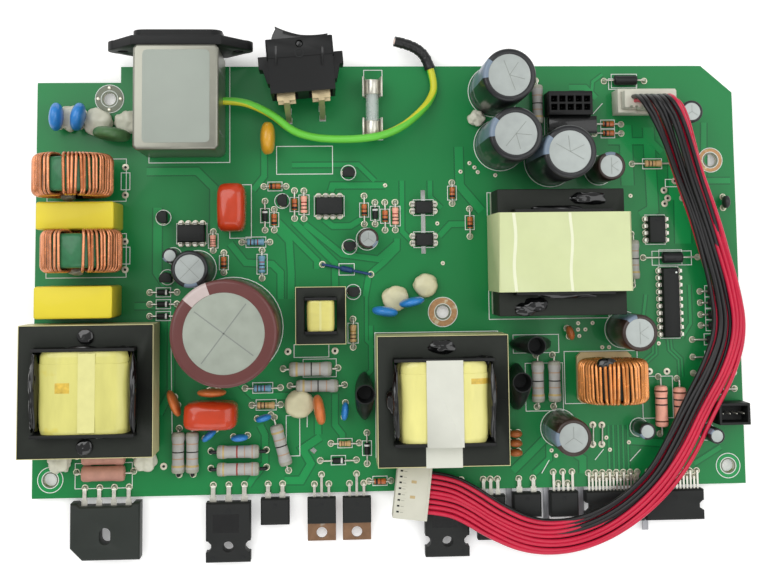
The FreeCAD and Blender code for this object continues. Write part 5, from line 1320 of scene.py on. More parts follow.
    def _edge(self, _solid: Solid, centre: Vector, normal: Vector) -> "Paint | None":
        """Bare laminate at the cut edges and plating in the holes.

        Args:
            centre: The middle of a face of the board.
            normal: The way it faces.

        Returns:
            The finish of the face, or None where the mask covers it.
        """
        if abs(normal.z) > 0.5:
            return None
        corner = centre.x > RIGHT - self.cut_corner[0] and centre.y > REAR - self.cut_corner[1]
        sides = centre.x < LEFT + 0.2 or centre.x > RIGHT - 0.2 or centre.y > REAR - 0.2
        front = centre.y < FRONT + self.notch_depth and abs(normal.y) > 0.5
        return LAMINATE if corner or sides or front else PAD

    def _copper(self) -> None:
        """Tracks under the mask, on both faces."""
        tracks = Pile("board_tracks", "circuit_board")
        for index, (width, line) in enumerate(self.tracks):
            step = 0.0012 * index
            tracks.stroke(line, width + 1.0, TOP + 0.008 + step, DARK_MASK, depth=0.008)
            tracks.stroke(line, width, TOP + 0.08 + step, TRACK_MASK, depth=0.07)
            tracks.stroke(list(reversed(line)), width * 1.3, -0.02 - step, TRACK_MASK, depth=-0.02)
        tracks.piece()

    def _ink(self) -> None:
        """White outlines round the parts."""
        ink = Pile("board_ink", "circuit_board")
        height = TOP + 0.17
        for line in self.ink_lines:
            ink.stroke(line, 0.28, height, SILK)
        boxes = list(self.ink_boxes)
        for node in self.boxed_nodes:
            for solid in solids(node):
                low, high = solid.low - DIAGONAL * self.box_margin, solid.high + DIAGONAL * self.box_margin
                boxes.append((low.x, low.y, high.x, high.y))
        for index, (left, front, right, rear) in enumerate(boxes):
            if left > LEFT and front > FRONT and right < RIGHT and rear < REAR:
                outline = rectangle(left, front, right, rear)
                ink.stroke(outline, 0.26, height + 0.001 + 0.0008 * index, SILK, closed=True)
        for node in self.ringed_nodes:
            for solid in solids(node):
                radius = max(solid.size.x, solid.size.y) / 2 + self.ring_margin
                profile = [(radius, height - 0.03), (radius, height), (radius - 0.28, height)]
                ink.lathe(profile, SILK, solid.stand(), 40)
        ink.piece()

    def _rings(self) -> None:
        """Rings round the fixing holes, with a darker grey ring of painted shade just inside each bore."""
        rings = Pile("fixing_rings", "circuit_board")
        for x, y, inner, outer, paint in self.fixings:
            spot = at(x, y)
            for z, flip in ((TOP + 0.21, 1), (-0.15, -1)):
                rings.lathe([(outer, z - 0.03 * flip), (outer, z), (inner, z)], paint, spot, 40)
                # A darker grey ring just inside each hole: painted shade of the bore.
                edge = inner - 0.25
                bore_shade = [(edge, z - 0.05 * flip), (edge, z - 0.01), (self.bore, z - 0.01)]
                rings.lathe(bore_shade, RING_GREY, spot, 40)
            for wide in (outer + 0.3, inner):
                rings.lathe([(wide, TOP), (wide, TOP + 0.22), (wide - 0.25, TOP + 0.22)], SILK, spot, 40)
            for turn in range(4 if paint is RING_GREY else 0):
                dot = at(x, y, TOP + 0.25) @ Matrix.Rotation(turn * math.pi / 2, 4, "Z") @ at(0, 4.0)
                rings.puffed(dot, (0.75, 0.75, 0.3), SOLDER)
        rings.piece()

    @staticmethod
    def _fillets(
        name: str, spots: Sequence[Vector], reach: Sequence[float], height: float, top: float, turn: float,
        finish: Paint,
    ) -> None:
        """Round pads or cones of solder.

        Args:
            name: The piece's name.
            spots: The middle of each.
            reach: The radius of each.
            height: Their height, as a share of the radius.
            top: The radius of their tip, as a share too.
            turn: A half turn where they hang below the board.
            finish: Their finish.
        """
        tree = Grower(name + "_tree", {
            "Height": ("Float", height), "Top": ("Float", top), "Turn": ("Float", turn), "Sides": ("Int", 14),
        })
        given = tree.given
        cone = tree.node("GeometryNodeMeshCone", {
            "Vertices": given["Sides"], "Radius Top": given["Top"], "Radius Bottom": 1.0,
            "Depth": given["Height"],
        })[0]
        size = tree.node("GeometryNodeInputNamedAttribute", {"Name": "reach"}, data_type="FLOAT")[0]
        angles = tree.node("ShaderNodeCombineXYZ", (given["Turn"],))[0]
        tilt = tree.node("FunctionNodeEulerToRotation", (angles,))[0]
        spread = tree.node("GeometryNodeInstanceOnPoints", {
            "Points": given["Geometry"], "Instance": cone, "Rotation": tilt, "Scale": size,
        })[0]
        tree.grown(spread, finish, name, "circuit_board", spots, reach)


@dataclass
class MainsInlet:
    """The filtered inlet: a steel can with a blank plate and a black socket behind it."""

    plate_inset: Quad = (3.2, 2.4, 3.0, 1.9)
    plate_corner: float = 1.5

    def build(self) -> None:
        """Dresses the can, the socket and its blades."""
        polished("filter_can", STEEL, 0.7)
        low, high = (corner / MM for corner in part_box("filter_can"))
        plate = Pile("blank_plate", "filter_can")
        inset, bend = self.plate_inset, self.plate_corner
        left, front = low.x + inset[0] + bend, low.y + inset[1] + bend
        right, rear = high.x - inset[2] - bend, high.y - inset[3] - bend
        outline = []
        for x, y, start in ((right, rear, 0), (left, rear, 90), (left, front, 180), (right, front, 270)):
            turns = [math.radians(start + step) for step in (0, 30, 60, 90)]
            outline += [(x + bend * math.cos(turn), y + bend * math.sin(turn)) for turn in turns]
        plate.slab(outline, 0.12, LABEL, at(0, 0, high.z))
        plate.piece(0.05)
        seams = Pile("can_seams", "filter_can")
        for x in (low.x - 0.03, high.x + 0.03):
            for y in (low.y + 6, high.y - 9):
                seams.block((x - 0.1, y, low.z + 4), (x + 0.1, y + 1.2, high.z - 5), SCORE)
        seams.piece(0.04)
        polished("inlet_socket", BLACK_MOULD, 0.35)
        polished("inlet_blades", TIN, 0.3)


@dataclass
class RockerSwitch:
    """The mains switch with its screwless tags."""

    def build(self) -> None:
        """Dresses the housing, the rocker and the tags."""
        polished("switch_housing", BLACK_MOULD, 0.35)
        polished("switch_rocker", BLACK_GLOSS, 0.35)
        polished("switch_terminals", BRASS, 0.12)
        marks = Pile("housing_marks", "switch_housing")
        low, high = (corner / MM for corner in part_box("switch_housing"))
        x, y = (low.x + high.x) / 2 - 0.4, high.y - 6.4
        body = polished_top("switch_housing", x, y)
        dimple = [(1.7, -0.05), (1.7, 0.12), (1.2, 0.14), (1.1, -0.02), (0, -0.02)]
        marks.lathe(dimple, DARK_MARK_AND_HOLE_SHADE, at(x, y, body), 24)
        for side in (x - 8.0, x + 8.0):
            marks.block((side - 0.35, y - 4.2, body - 0.1), (side + 0.35, y + 2.4, body + 0.12), BLACK_GLOSS)
        marks.piece(0.04)


def polished_top(node: str, x: float, y: float) -> float:
    """The height of a CAD node's surface above a point in plan, in millimetres."""
    mesh = frame["nodes"][node].data
    corners, faces = [vertex.co for vertex in mesh.vertices], [tuple(face.vertices) for face in mesh.polygons]
    tree = BVHTree.FromPolygons(corners, faces)
    place, _, _, _ = tree.ray_cast(Vector((x * MM, y * MM, 1.0)), Vector((0, 0, -1)))
    return place.z / MM if place else TOP


@dataclass
class GlassFuse:
    """A glass fuse in two spring clips."""

    def build(self) -> None:
        """Dresses the tube, the caps and the clips."""
        polished("fuse_tube", FUSE_GLASS, 0.0)
        polished("fuse_caps", TIN, 0.25)
        polished("fuse_clips", TIN, 0.1)


@dataclass(frozen=True)
class Coil:
    """One run of turns on a ring, by the angle of its first turn from +X toward +Z."""

    first: float
    last: float
    turns: int


@dataclass
class RingChoke:
    """A wound ring that stands on a small base, its axis along Y."""

    name: str
    centre: Triple
    core_radius: float
    core_bore: float
    core_width: float
    wire: float
    coils: tuple[Coil, ...]
    core_node: str
    winding_node: str
    core_finish: Finish
    extra: float = 1.2
    wire_finish: Finish = COPPER

    def build(self) -> None:
        """Turns the core and winds the wire on it."""
        core = Pile(self.name + "_ring", self.core_node)
        outer, inner, half, soft = self.core_radius, self.core_bore, self.core_width / 2, 1.3
        bends = [
            (inner, -half + soft), (inner + 0.4 * soft, -half + 0.3 * soft), (inner + soft, -half),
            (outer - soft, -half), (outer - 0.3 * soft, -half + 0.3 * soft), (outer, -half + soft),
        ]
        profile = [*bends, *((radius, -height) for radius, height in reversed(bends)), bends[0]]
        core.lathe(profile, self.core_finish, facing(Vector(self.centre), Y_AXIS), 72)
        core.piece(angle=60)
        for index, coil in enumerate(self.coils):
            self._wind(index, coil)

    def _wind(self, index: int, coil: Coil) -> None:
        """Winds one run of turns with a geometry node tree."""
        middle = (self.core_radius + self.core_bore) / 2
        radial = self.core_radius - self.core_bore + self.wire + 0.5
        axial = self.core_width + self.wire + self.extra
        tree = Grower(f"{self.name}_coil_{index}_tree", {
            "Turns": ("Int", coil.turns), "First": ("Float", math.radians(coil.first)),
            "Step": ("Float", math.radians((coil.last - coil.first) / max(1, coil.turns - 1))),
            "Ring": ("Float", middle * MM), "Radial": ("Float", radial * MM), "Axial": ("Float", axial * MM),
            "Bend": ("Float", 2.1 * MM), "Wire": ("Float", self.wire / 2 * MM), "Lean": ("Float", 0.05),
            "Centre": ("Vector", tuple(value * MM for value in self.centre)), "Seed": ("Int", 7 + index),
        })
        given = tree.given
        sides = {"Width": given["Radial"], "Height": given["Axial"]}
        loop = tree.node("GeometryNodeCurvePrimitiveQuadrilateral", sides)[0]
        bend = {"Curve": loop, "Count": 5, "Radius": given["Bend"]}
        loop = tree.node("GeometryNodeFilletCurve", bend, mode="POLY")[0]
        section = tree.node("GeometryNodeCurvePrimitiveCircle", {"Resolution": 10, "Radius": given["Wire"]})[0]
        turn = tree.node("GeometryNodeCurveToMesh", {"Curve": loop, "Profile Curve": section})[0]
        out = tree.node("ShaderNodeCombineXYZ", (given["Ring"],))[0]
        turn = tree.node("GeometryNodeTransform", {"Geometry": turn, "Translation": out})[0]
        points = tree.node("GeometryNodePoints", {"Count": given["Turns"]})[0]
        number = tree.node("GeometryNodeInputIndex")[0]
        stray, lean = (
            tree.node("FunctionNodeRandomValue", {
                "Min_001": -0.5, "Max_001": most, "ID": number, "Seed": given["Seed"] + offset,
            }, data_type="FLOAT")[1]
            for most, offset in ((0.5, 0.0), (0.9, 3.0))
        )
        angle = number * given["Step"] + given["First"] + stray * 0.045
        spin = tree.node("ShaderNodeCombineXYZ", (lean * given["Lean"], angle * -1.0))[0]
        rotation = tree.node("FunctionNodeEulerToRotation", (spin,))[0]
        inputs = {"Points": points, "Instance": turn, "Rotation": rotation}
        ring = tree.node("GeometryNodeInstanceOnPoints", inputs)[0]
        ring = tree.node("GeometryNodeTransform", {"Geometry": ring, "Translation": given["Centre"]})[0]
        tree.grown(ring, self.wire_finish, f"{self.name}_coil_{index}", self.winding_node)


@dataclass
class WoundRings:
    """The two common-mode chokes at the left edge and the output choke."""

    coils: tuple[tuple[Coil, ...], ...] = (
        (Coil(-70, 92, 27), Coil(116, 250, 22)), (Coil(-70, 75, 24), Coil(113, 250, 22)),
    )
    output_coil: Coil = Coil(-78, 258, 46)

    def build(self) -> None:
        """Winds the rings and dresses their bases."""
        cores = sorted(solids("choke_cores"), key=lambda solid: -solid.middle.y)
        for index, (core, coils) in enumerate(zip(cores, self.coils)):
            RingChoke(
                f"line_choke_{index}", tuple(core.middle), 12.5, 6.9, 11.6, 0.98, coils, "choke_cores",
                "choke_windings", GREEN_CORE,
            ).build()
        lone = solids("output_choke_core")[0]
        RingChoke(
            "output_choke", tuple(lone.middle), 10.9, 6.6, 12.0, 1.1, (self.output_coil,), "output_choke_core",
            "output_choke_winding", FERRITE, 1.0, ORANGE_COPPER,
        ).build()
        polished("output_choke_base", BEIGE, 0.2)
        polished("choke_bases", BLACK_MOULD, 0.35)
        gum = Pile("choke_gum", "choke_bases")
        for index, core in enumerate(cores):
            spot = at(core.middle.x - 3.0, core.middle.y - 7.0, core.low.z + 5.5)
            gum.puffed(spot, (2.4, 1.3, 3.6), GREY_GUM, 2.2, 2.2, 0.25, index + 3.0)
        spot = at(lone.middle.x - 4.5, lone.middle.y + 6.6, lone.high.z - 1.4)
        gum.puffed(spot, (3.2, 1.9, 1.5), BLACK_GLUE, 2.2, 2.2, 0.3, 8.0)
        gum.piece(angle=60)


@dataclass
class Transformer:
    """A wound core that lies flat: two ferrite halves, a bobbin and a taped winding."""

    stem: str
    tape: Finish
    bobbin: Finish
    seams: tuple[tuple[float, float, float, float, Finish], ...] = ()
    glue: tuple[tuple[float, float, float, float, float, float], ...] = ()
    stain: Sector | None = None
    foot: Finish | None = None
    foot_height: float = 9.0
    squareness: int = 6
    sides: int = 72
    layer_ends: Pair = (0.71, 0.885)
    stations: tuple[float, ...] = (
        -1, -0.995, -0.9, -0.89, -0.74, -0.72, -0.5, -0.25, 0, 0.25, 0.44, 0.58, 0.7, 0.72, 0.87, 0.88, 0.995,
        1,
    )

    def build(self) -> None:
        """Dresses the core and the bobbin and wraps the winding."""
        polished(self.stem + "_core", FERRITE, 0.35)
        polished(self.stem + "_bobbin", self.bobbin, 0.2, self._flange)
        self._winding()
        if self.seams or self.glue:
            self._details()

    def _flange(self, _solid: Solid, centre: Vector, _normal: Vector) -> "Paint | None":
        """The finish of the pin rails, where it isn't the bobbin's own."""
        return self.foot if centre.z < self.foot_height else None

    def _winding(self) -> None:
        """Layers of tape, a little barrel-shaped, with steps where each layer ends."""
        solid = solids(self.stem + "_winding")[0]
        middle, half = solid.middle, solid.size / 2
        pile = Pile(self.stem + "_wrap", self.stem + "_winding")
        power = self.squareness
        rings = [[Vector((middle.x, middle.y - half.y, middle.z))]]
        for station in self.stations:
            out = abs(station)
            layer = 1.0 - 0.012 * sum(out > edge for edge in self.layer_ends) - 0.03 * (out > 0.99)
            ring = []
            for u, v in circle(1.0, self.sides):
                reach = (abs(u) ** power + abs(v) ** power) ** (-1 / power) * layer
                reach *= 1 + 0.006 * noise.noise(Vector((u * 2, station * 3, v * 2)))
                ring.append(middle + Vector((-u * half.x * reach, station * half.y, v * half.z * reach)))
            rings.append(ring)
        rings.append([Vector((middle.x, middle.y + half.y, middle.z))])
        pile.skin(rings, self.tape, self.stain)
        pile.piece(angle=28)

    def _details(self) -> None:
        """Tape ends and glue, placed from the winding's middle."""
        solid = solids(self.stem + "_winding")[0]
        middle, top = solid.middle, solid.high.z
        pile = Pile(self.stem + "_trim", self.stem + "_winding")
        for left, front, right, rear, paint in self.seams:
            across = [left + (right - left) * share / 8 for share in range(9)]
            outline = [
                (x, edge + 0.35 * noise.noise(Vector((x, edge, seed))))
                for edge, seed, places in ((front, 1.0, across), (rear, 4.0, across[::-1])) for x in places
            ]
            pile.slab(outline, 0.16, paint, at(middle.x, middle.y, top - 0.02))
        for index, (x, y, z, wide, long, deep) in enumerate(self.glue):
            spot, half = at(middle.x + x, middle.y + y, top + z), (wide, long, deep)
            pile.puffed(spot, half, BLACK_GLUE, 2.4, 2.2, 0.28, index * 3.1 + wide, 12, 26)
        pile.piece(angle=60)


@dataclass
class WoundCores:
    """The boost choke and the main, output and driver transformers."""

    strip_width: float = 14.0
    band_height: float = 30.0
    band_seams: tuple[Pair, ...] = ((40.0, 0.55), (59.4, 0.5))
    band_ends: Pair = (64.1, 90.7)

    def build(self) -> None:
        """Builds the four and their outer tapes."""
        margins = tuple((side * 16.2, 0.0, -2.6, 1.5, 12.6, 3.0) for side in (-1, 1))
        Transformer(
            "boost_choke", BOOST_TAPE, BLACK_MOULD, seams=((-1.4, -12.9, 4.2, 12.9, TAPE_SEAM),),
            glue=margins + (
                (-1, 13.8, -5.2, 5.0, 1.6, 1.6), (3, -14.2, -5.2, 5.5, 1.4, 1.5),
                (12.5, 12.2, -4.6, 3.0, 2.6, 1.6),
            ),
            stain=Sector(58, 76, (9, 10), STAIN),
        ).build()
        Transformer(
            "main_transformer", MAIN_TAPE, BLACK_MOULD,
            glue=margins + (
                (-0.4, 18.2, -5.3, 4.4, 2.3, 1.1), (-17.4, 0.5, -4.2, 2.2, 4.4, 2.6),
                (13.0, 12.0, -4.6, 3.0, 3.0, 1.4),
            ),
            stain=Sector(120, 150, (11, 12), STAIN),
        ).build()
        Transformer(
            "output_transformer", MAIN_TAPE, BLACK_MOULD, foot=NYLON,
            glue=tuple((side * 15.6, 0.0, -1.4, 2.0, 12.9, 2.0) for side in (-1, 1)) + (
                (-2, 14.6, -5.2, 9, 1.4, 1.0), (2, -14.6, -5.2, 10, 1.4, 1.0),
                (-13.2, -19.6, -5.3, 3.6, 2.2, 1.1), (-9.6, -18.0, -5.2, 4.2, 2.4, 1.3),
                (9.6, 18.4, -5.3, 6.0, 2.2, 1.1),
            ),
        ).build()
        Transformer(
            "driver_transformer", DRIVER_TAPE, BLACK_MOULD, seams=((-0.5, -5.0, 0.3, 5.0, TAPE_SEAM),),
        ).build()
        polished("transformer_tapes", CREAM_TAPE, 0.0, self._tape, joined=False)
        band = Pile("band_seams", "transformer_tapes")
        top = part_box("transformer_tapes")[1].z / MM
        for x, wide in self.band_seams:
            waves = [(x + 0.35 * math.sin(y / 3.4 + x), y) for y in np.linspace(*self.band_ends, 15)]
            left = [(edge - wide, y) for edge, y in reversed(waves)]
            right = [(edge + wide, y) for edge, y in waves]
            band.slab(left + right, 0.1, BAND_SEAM, at(0, 0, top - 0.02))
        band.piece()

    def _tape(self, solid: Solid, _centre: Vector, _normal: Vector) -> "Paint | None":
        """The white strip, the pale band or the brownish tape round a core."""
        if solid.size.x < self.strip_width:
            return WHITE_TAPE
        return PALE_BAND if solid.high.z > self.band_height else None


Placed = TypeVar("Placed", "CanLook", "DipLook", "AxialSpot")


def nearest(entries: Sequence[Placed], solid: Solid) -> tuple[Placed, float]:
    """The entry nearest a solid in plan, and how far off it is."""
    gaps = [math.hypot(entry.x - solid.middle.x, entry.y - solid.middle.y) for entry in entries]
    return entries[gaps.index(min(gaps))], min(gaps)


class Score(Enum):
    """The grooves pressed into a can's top."""

    CROSS = (45, 135, 225, 315)
    LETTER_K = (90, 270, 35, 325)
    LETTER_Y = (90, 215, 325)


@dataclass(frozen=True)
class CanLook:
    """The sleeve, stripe and top of a can near a place."""

    x: float
    y: float
    sleeve: Finish = BLACK_SLEEVE
    stripe: Finish = STRIPE_SLATE
    angle: float = 140.0
    top: Finish = TALL_TOP
    score: Score = Score.LETTER_K
    turn: float = 0.0


@dataclass
class Cans:
    """The electrolytic capacitors."""

    open_share: float = 0.79
    bulk_share: float = 0.76
    bulk_radius: float = 15.0
    plain_radius: float = 2.9
    looks: tuple[CanLook, ...] = (
        CanLook(-57.2, 52.0, BROWN_SLEEVE, STRIPE_WHITE, 108, CAN_TOP, Score.CROSS, 8),
        CanLook(38.0, 136.6, turn=20), CanLook(39.8, 116.8, turn=-40), CanLook(58.2, 110.8, turn=60),
        CanLook(83.6, 49.3, DARK_BROWN_SLEEVE, angle=95), CanLook(76.2, 107.3, DARK_BROWN_SLEEVE, angle=75),
        CanLook(59.3, 14.6, DARK_BROWN_SLEEVE, angle=165, score=Score.LETTER_Y),
        CanLook(-69.7, 72.9, angle=255, score=Score.CROSS), CanLook(107.4, 127.2, score=Score.LETTER_Y),
        CanLook(-78.3, 77.7, angle=200), CanLook(88.4, 14.3, angle=200),
        CanLook(-9.0, 83.0, DARK_BROWN_SLEEVE, angle=300, score=Score.LETTER_Y),
        CanLook(113.2, 12.2, angle=120),
    )

    def build(self) -> None:
        """Turns every can."""
        for node in ("bulk_capacitor", "output_capacitors", "small_capacitors"):
            pile = Pile(node + "_cans", node)
            for solid in solids(node):
                self._can(pile, solid, nearest(self.looks, solid)[0])
            pile.piece(angle=40)

    def _can(self, pile: Pile, solid: Solid, look: CanLook) -> None:
        """A sleeve drawn over a crimped can, open at the top over a scored disc.

        Args:
            pile: The piece that the can goes into.
            solid: The can's solid.
            look: Its sleeve, stripe and top.
        """
        radius = solid.size.x / 2
        low, high = solid.low.z, solid.high.z
        bulk = radius > self.bulk_radius
        share = self.bulk_share if bulk else self.open_share
        neck, lip = min(3.0, radius * 0.3), min(1.0, radius * 0.13)
        profile = [
            (0.0, low), (radius * 0.93, low), (radius * 0.985, low + 0.5), (radius * 0.985, low + neck * 0.6),
            (radius * 0.955, low + neck), (radius, low + neck * 1.5), (radius, high - lip),
            (radius - lip * 0.25, high - lip * 0.4), (radius - lip * 0.7, high - lip * 0.08),
            (radius - lip * 1.3, high), (radius * share, high - 0.05), (radius * share - 0.08, high - 0.3),
            (0.0, high - 0.22),
        ]
        sleeve: list[Paint] = [look.sleeve] * (len(profile) - 2) + [look.top]
        stripe = Sector(look.angle, look.angle + (31 if bulk else 44), (3, 10), look.stripe)
        pile.lathe(profile, sleeve, solid.stand(), 72 if bulk else 56 if radius > 8 else 40, stripe)
        middle = solid.middle.xy
        reach = radius * share * (0.9 if look.score is Score.CROSS else 0.75)
        for groove in look.score.value if radius >= self.plain_radius else ():
            turn = math.radians(groove + look.turn)
            end = middle + Vector((math.cos(turn), math.sin(turn))) * reach
            pile.stroke([tuple(middle), tuple(end)], max(0.18, radius * 0.022), high - 0.19, SCORE, depth=0.02)


@dataclass(frozen=True)
class DipLook:
    """The coat of a dipped part near a place."""

    x: float
    y: float
    finish: Finish


@dataclass
class DippedParts:
    """Box and dipped film capacitors, ceramic discs and surge discs."""

    same_place: float = 3.0
    coats: tuple[DipLook, ...] = (
        DipLook(-99.0, 120.6, GREEN_DIP), DipLook(-44.3, 119.0, AMBER_DIP), DipLook(-26.6, 23.4, ORANGE_DISC),
        DipLook(122.2, 95.2, DARK_DIP), DipLook(-77.1, 26.5, ORANGE_DISC), DipLook(-64.0, 29.9, ORANGE_DISC),
    )

    def build(self) -> None:
        """Makes the dipped parts as smooth swollen forms."""
        polished("x2_capacitors", YELLOW_CASE, 0.7)
        for node, finish, square, ends in (
            ("film_capacitors", ORANGE_DIP, 5.0, 5.0), ("disc_capacitors_blue", BLUE_DIP, 2.0, 2.3),
            ("disc_capacitors_brown", BROWN_DIP, 2.1, 2.3), ("surge_discs", AMBER_DIP, 2.0, 2.6),
        ):
            pile = Pile(node + "_coats", node)
            for index, solid in enumerate(solids(node)):
                place, length, width = solid.lying()
                upright = place @ Matrix.Rotation(math.pi / 2, 4, "X")
                coat, off = nearest(self.coats, solid)
                paint = coat.finish if off < self.same_place and node != "disc_capacitors_blue" else finish
                half = (length / 2, solid.size.z / 2, width / 2)
                pile.puffed(upright, half, paint, square, ends, 0.03, index + 1.0, 16, 36)
            pile.piece(angle=70)


@dataclass(frozen=True)
class AxialLook:
    """A body's coat, its end caps and the bands round it, as shares of its length."""

    coat: Finish
    ends: Finish
    bands: tuple[tuple[float, float, Finish], ...]
    waist: float = 0.88


CODE = ((-0.28, 0.07, BAND_BROWN), (-0.08, 0.06, BAND_BLACK))


class AxialKind(Enum):
    """The kinds of axial part on the board."""

    LARGE_SALMON = AxialLook(SALMON, SALMON, (
        (-0.36, 0.035, BAND_BROWN), (0.04, 0.035, BAND_BLACK), (0.2, 0.035, BAND_BLACK),
        (0.37, 0.04, BAND_BROWN),
    ), 0.93)
    PINK = AxialLook(PINK_BROWN, PINK_BROWN, (), 0.94)
    GREY = AxialLook(GREY_COAT, GREY_END, (
        (-0.32, 0.05, PALE_GOLD), (-0.14, 0.03, FAINT_BAND), (0.02, 0.03, BAND_BLACK),
        (0.22, 0.03, FAINT_BAND),
    ), 0.9)
    GREY_RED = AxialLook(GREY_COAT, GREY_END, (
        (-0.34, 0.04, PALE_GOLD), (-0.02, 0.035, BAND_RED), (0.16, 0.025, FAINT_BAND),
        (0.34, 0.03, FAINT_BAND),
    ), 0.9)
    LINK = AxialLook(BLUE_TUBE, BLUE_TUBE, (), 1.0)
    BLUE = AxialLook(LIGHT_BLUE, LIGHT_BLUE, (*CODE, (0.12, 0.06, BAND_RED)))
    ROSE = AxialLook(SALMON, SALMON, (*CODE, (0.12, 0.06, BAND_RED)))
    SMALL_TAN = AxialLook(TAN, TAN, (*CODE, (0.12, 0.06, BAND_GOLD)))
    FUSE = AxialLook(SHRINK, SHRINK, (), 0.97)
    GLASS = AxialLook(GLASS_ORANGE, GLASS_ORANGE, ((-0.3, 0.2, BAND_BLACK), (0.05, 0.1, BAND_BROWN)), 0.97)
    DARK = AxialLook(PACKAGE, PACKAGE, ((0.28, 0.16, BAND_WHITE),), 1.0)
    SILVER = AxialLook(PACKAGE, PACKAGE, ((0.3, 0.13, BAND_SILVER),), 1.0)


@dataclass(frozen=True)
class AxialSpot:
    """Where a part of some kind lies."""

    x: float
    y: float
    kind: AxialKind


@dataclass
class Axials:
    """Resistors and diodes that lie along the board."""

    places: dict[AxialKind, tuple[Pair, ...]] = field(default_factory=lambda: {
        AxialKind.PINK: ((-101.7, 2.5), (-101.7, 8.0)),
        AxialKind.LARGE_SALMON: ((96.0, 22.0), (102.8, 21.3)),
        AxialKind.ROSE: ((-64.2, 82.8), (-31.7, 95.6), (1.2, 91.2)),
        AxialKind.BLUE: ((-49.0, 82.3), (-46.8, 74.4), (-46.6, 30.6)),
        AxialKind.SMALL_TAN: ((-14.4, 49.4), (-45.5, 24.6), (96.2, 109.6), (-17.8, 10.7)),
        AxialKind.FUSE: ((101.9, 75.2), (86.6, 140.4)),
        AxialKind.DARK: (
            (-45.7, 91.8), (-6.1, 92.3), (-9.8, 8.8), (-20.0, 4.8), (-81.8, 64.8), (-81.8, 60.6), (-81.8, 56.4),
        ),
        AxialKind.LINK: ((-16.5, 72.2),),
        AxialKind.GREY_RED: ((-55.6, 9.6), (-55.6, 2.9)),
    })
    same_place: float = 1.5
    silver_row: float = 110.0

    def build(self) -> None:
        """Turns every body with its bands."""
        spots = [AxialSpot(x, y, kind) for kind, places in self.places.items() for x, y in places]
        for node, usual in (
            ("power_resistors", AxialKind.GREY), ("small_resistors", AxialKind.SMALL_TAN),
            ("diodes", AxialKind.GLASS),
        ):
            pile = Pile(node + "_bodies", node)
            for solid in solids(node):
                spot, off = nearest(spots, solid)
                kind = spot.kind if off < self.same_place else usual
                if node == "diodes" and solid.middle.x > self.silver_row:
                    kind = AxialKind.SILVER
                self._body(pile, solid, kind.value)
            pile.piece(angle=40)

    @staticmethod
    def _body(pile: Pile, solid: Solid, look: AxialLook) -> None:
        """A coated body, a little waisted, between two fuller ends.

        Args:
            pile: The piece that the body goes into.
            solid: The body's solid.
            look: Its coat and bands.
        """
        place, length, _ = solid.lying()
        radius = solid.size.z / 2 * 1.03
        way = (place.to_3x3() @ X_AXIS).normalized()
        ends = {0.25: look.waist, 0.33: 1.0, 0.4: 1.0, 0.45: 0.97, 0.485: 0.84, 0.5: 0.5}
        stops = {side * share: value for share, value in ends.items() for side in (-1, 1)}
        marks = sorted(stops)
        values = [stops[mark] for mark in marks]
        for centre, wide, _paint in look.bands:
            for edge in (centre - wide / 2, centre + wide / 2):
                stops[edge] = float(np.interp(edge, marks, values))
        shares = sorted(stops)
        skin = [(radius * stops[share], share * length) for share in shares]
        profile = [(0.0, -length / 2), *skin, (0.0, length / 2)]
        paints: list[Paint] = [look.ends]
        for first, last in zip(shares, shares[1:]):
            middle = (first + last) / 2
            band = next((paint for centre, wide, paint in look.bands if abs(middle - centre) < wide / 2), None)
            paints.append(band or (look.ends if abs(middle) > 0.4 else look.coat))
        paints.append(look.ends)
        pile.lathe(profile, paints, facing(solid.middle, way), 20)


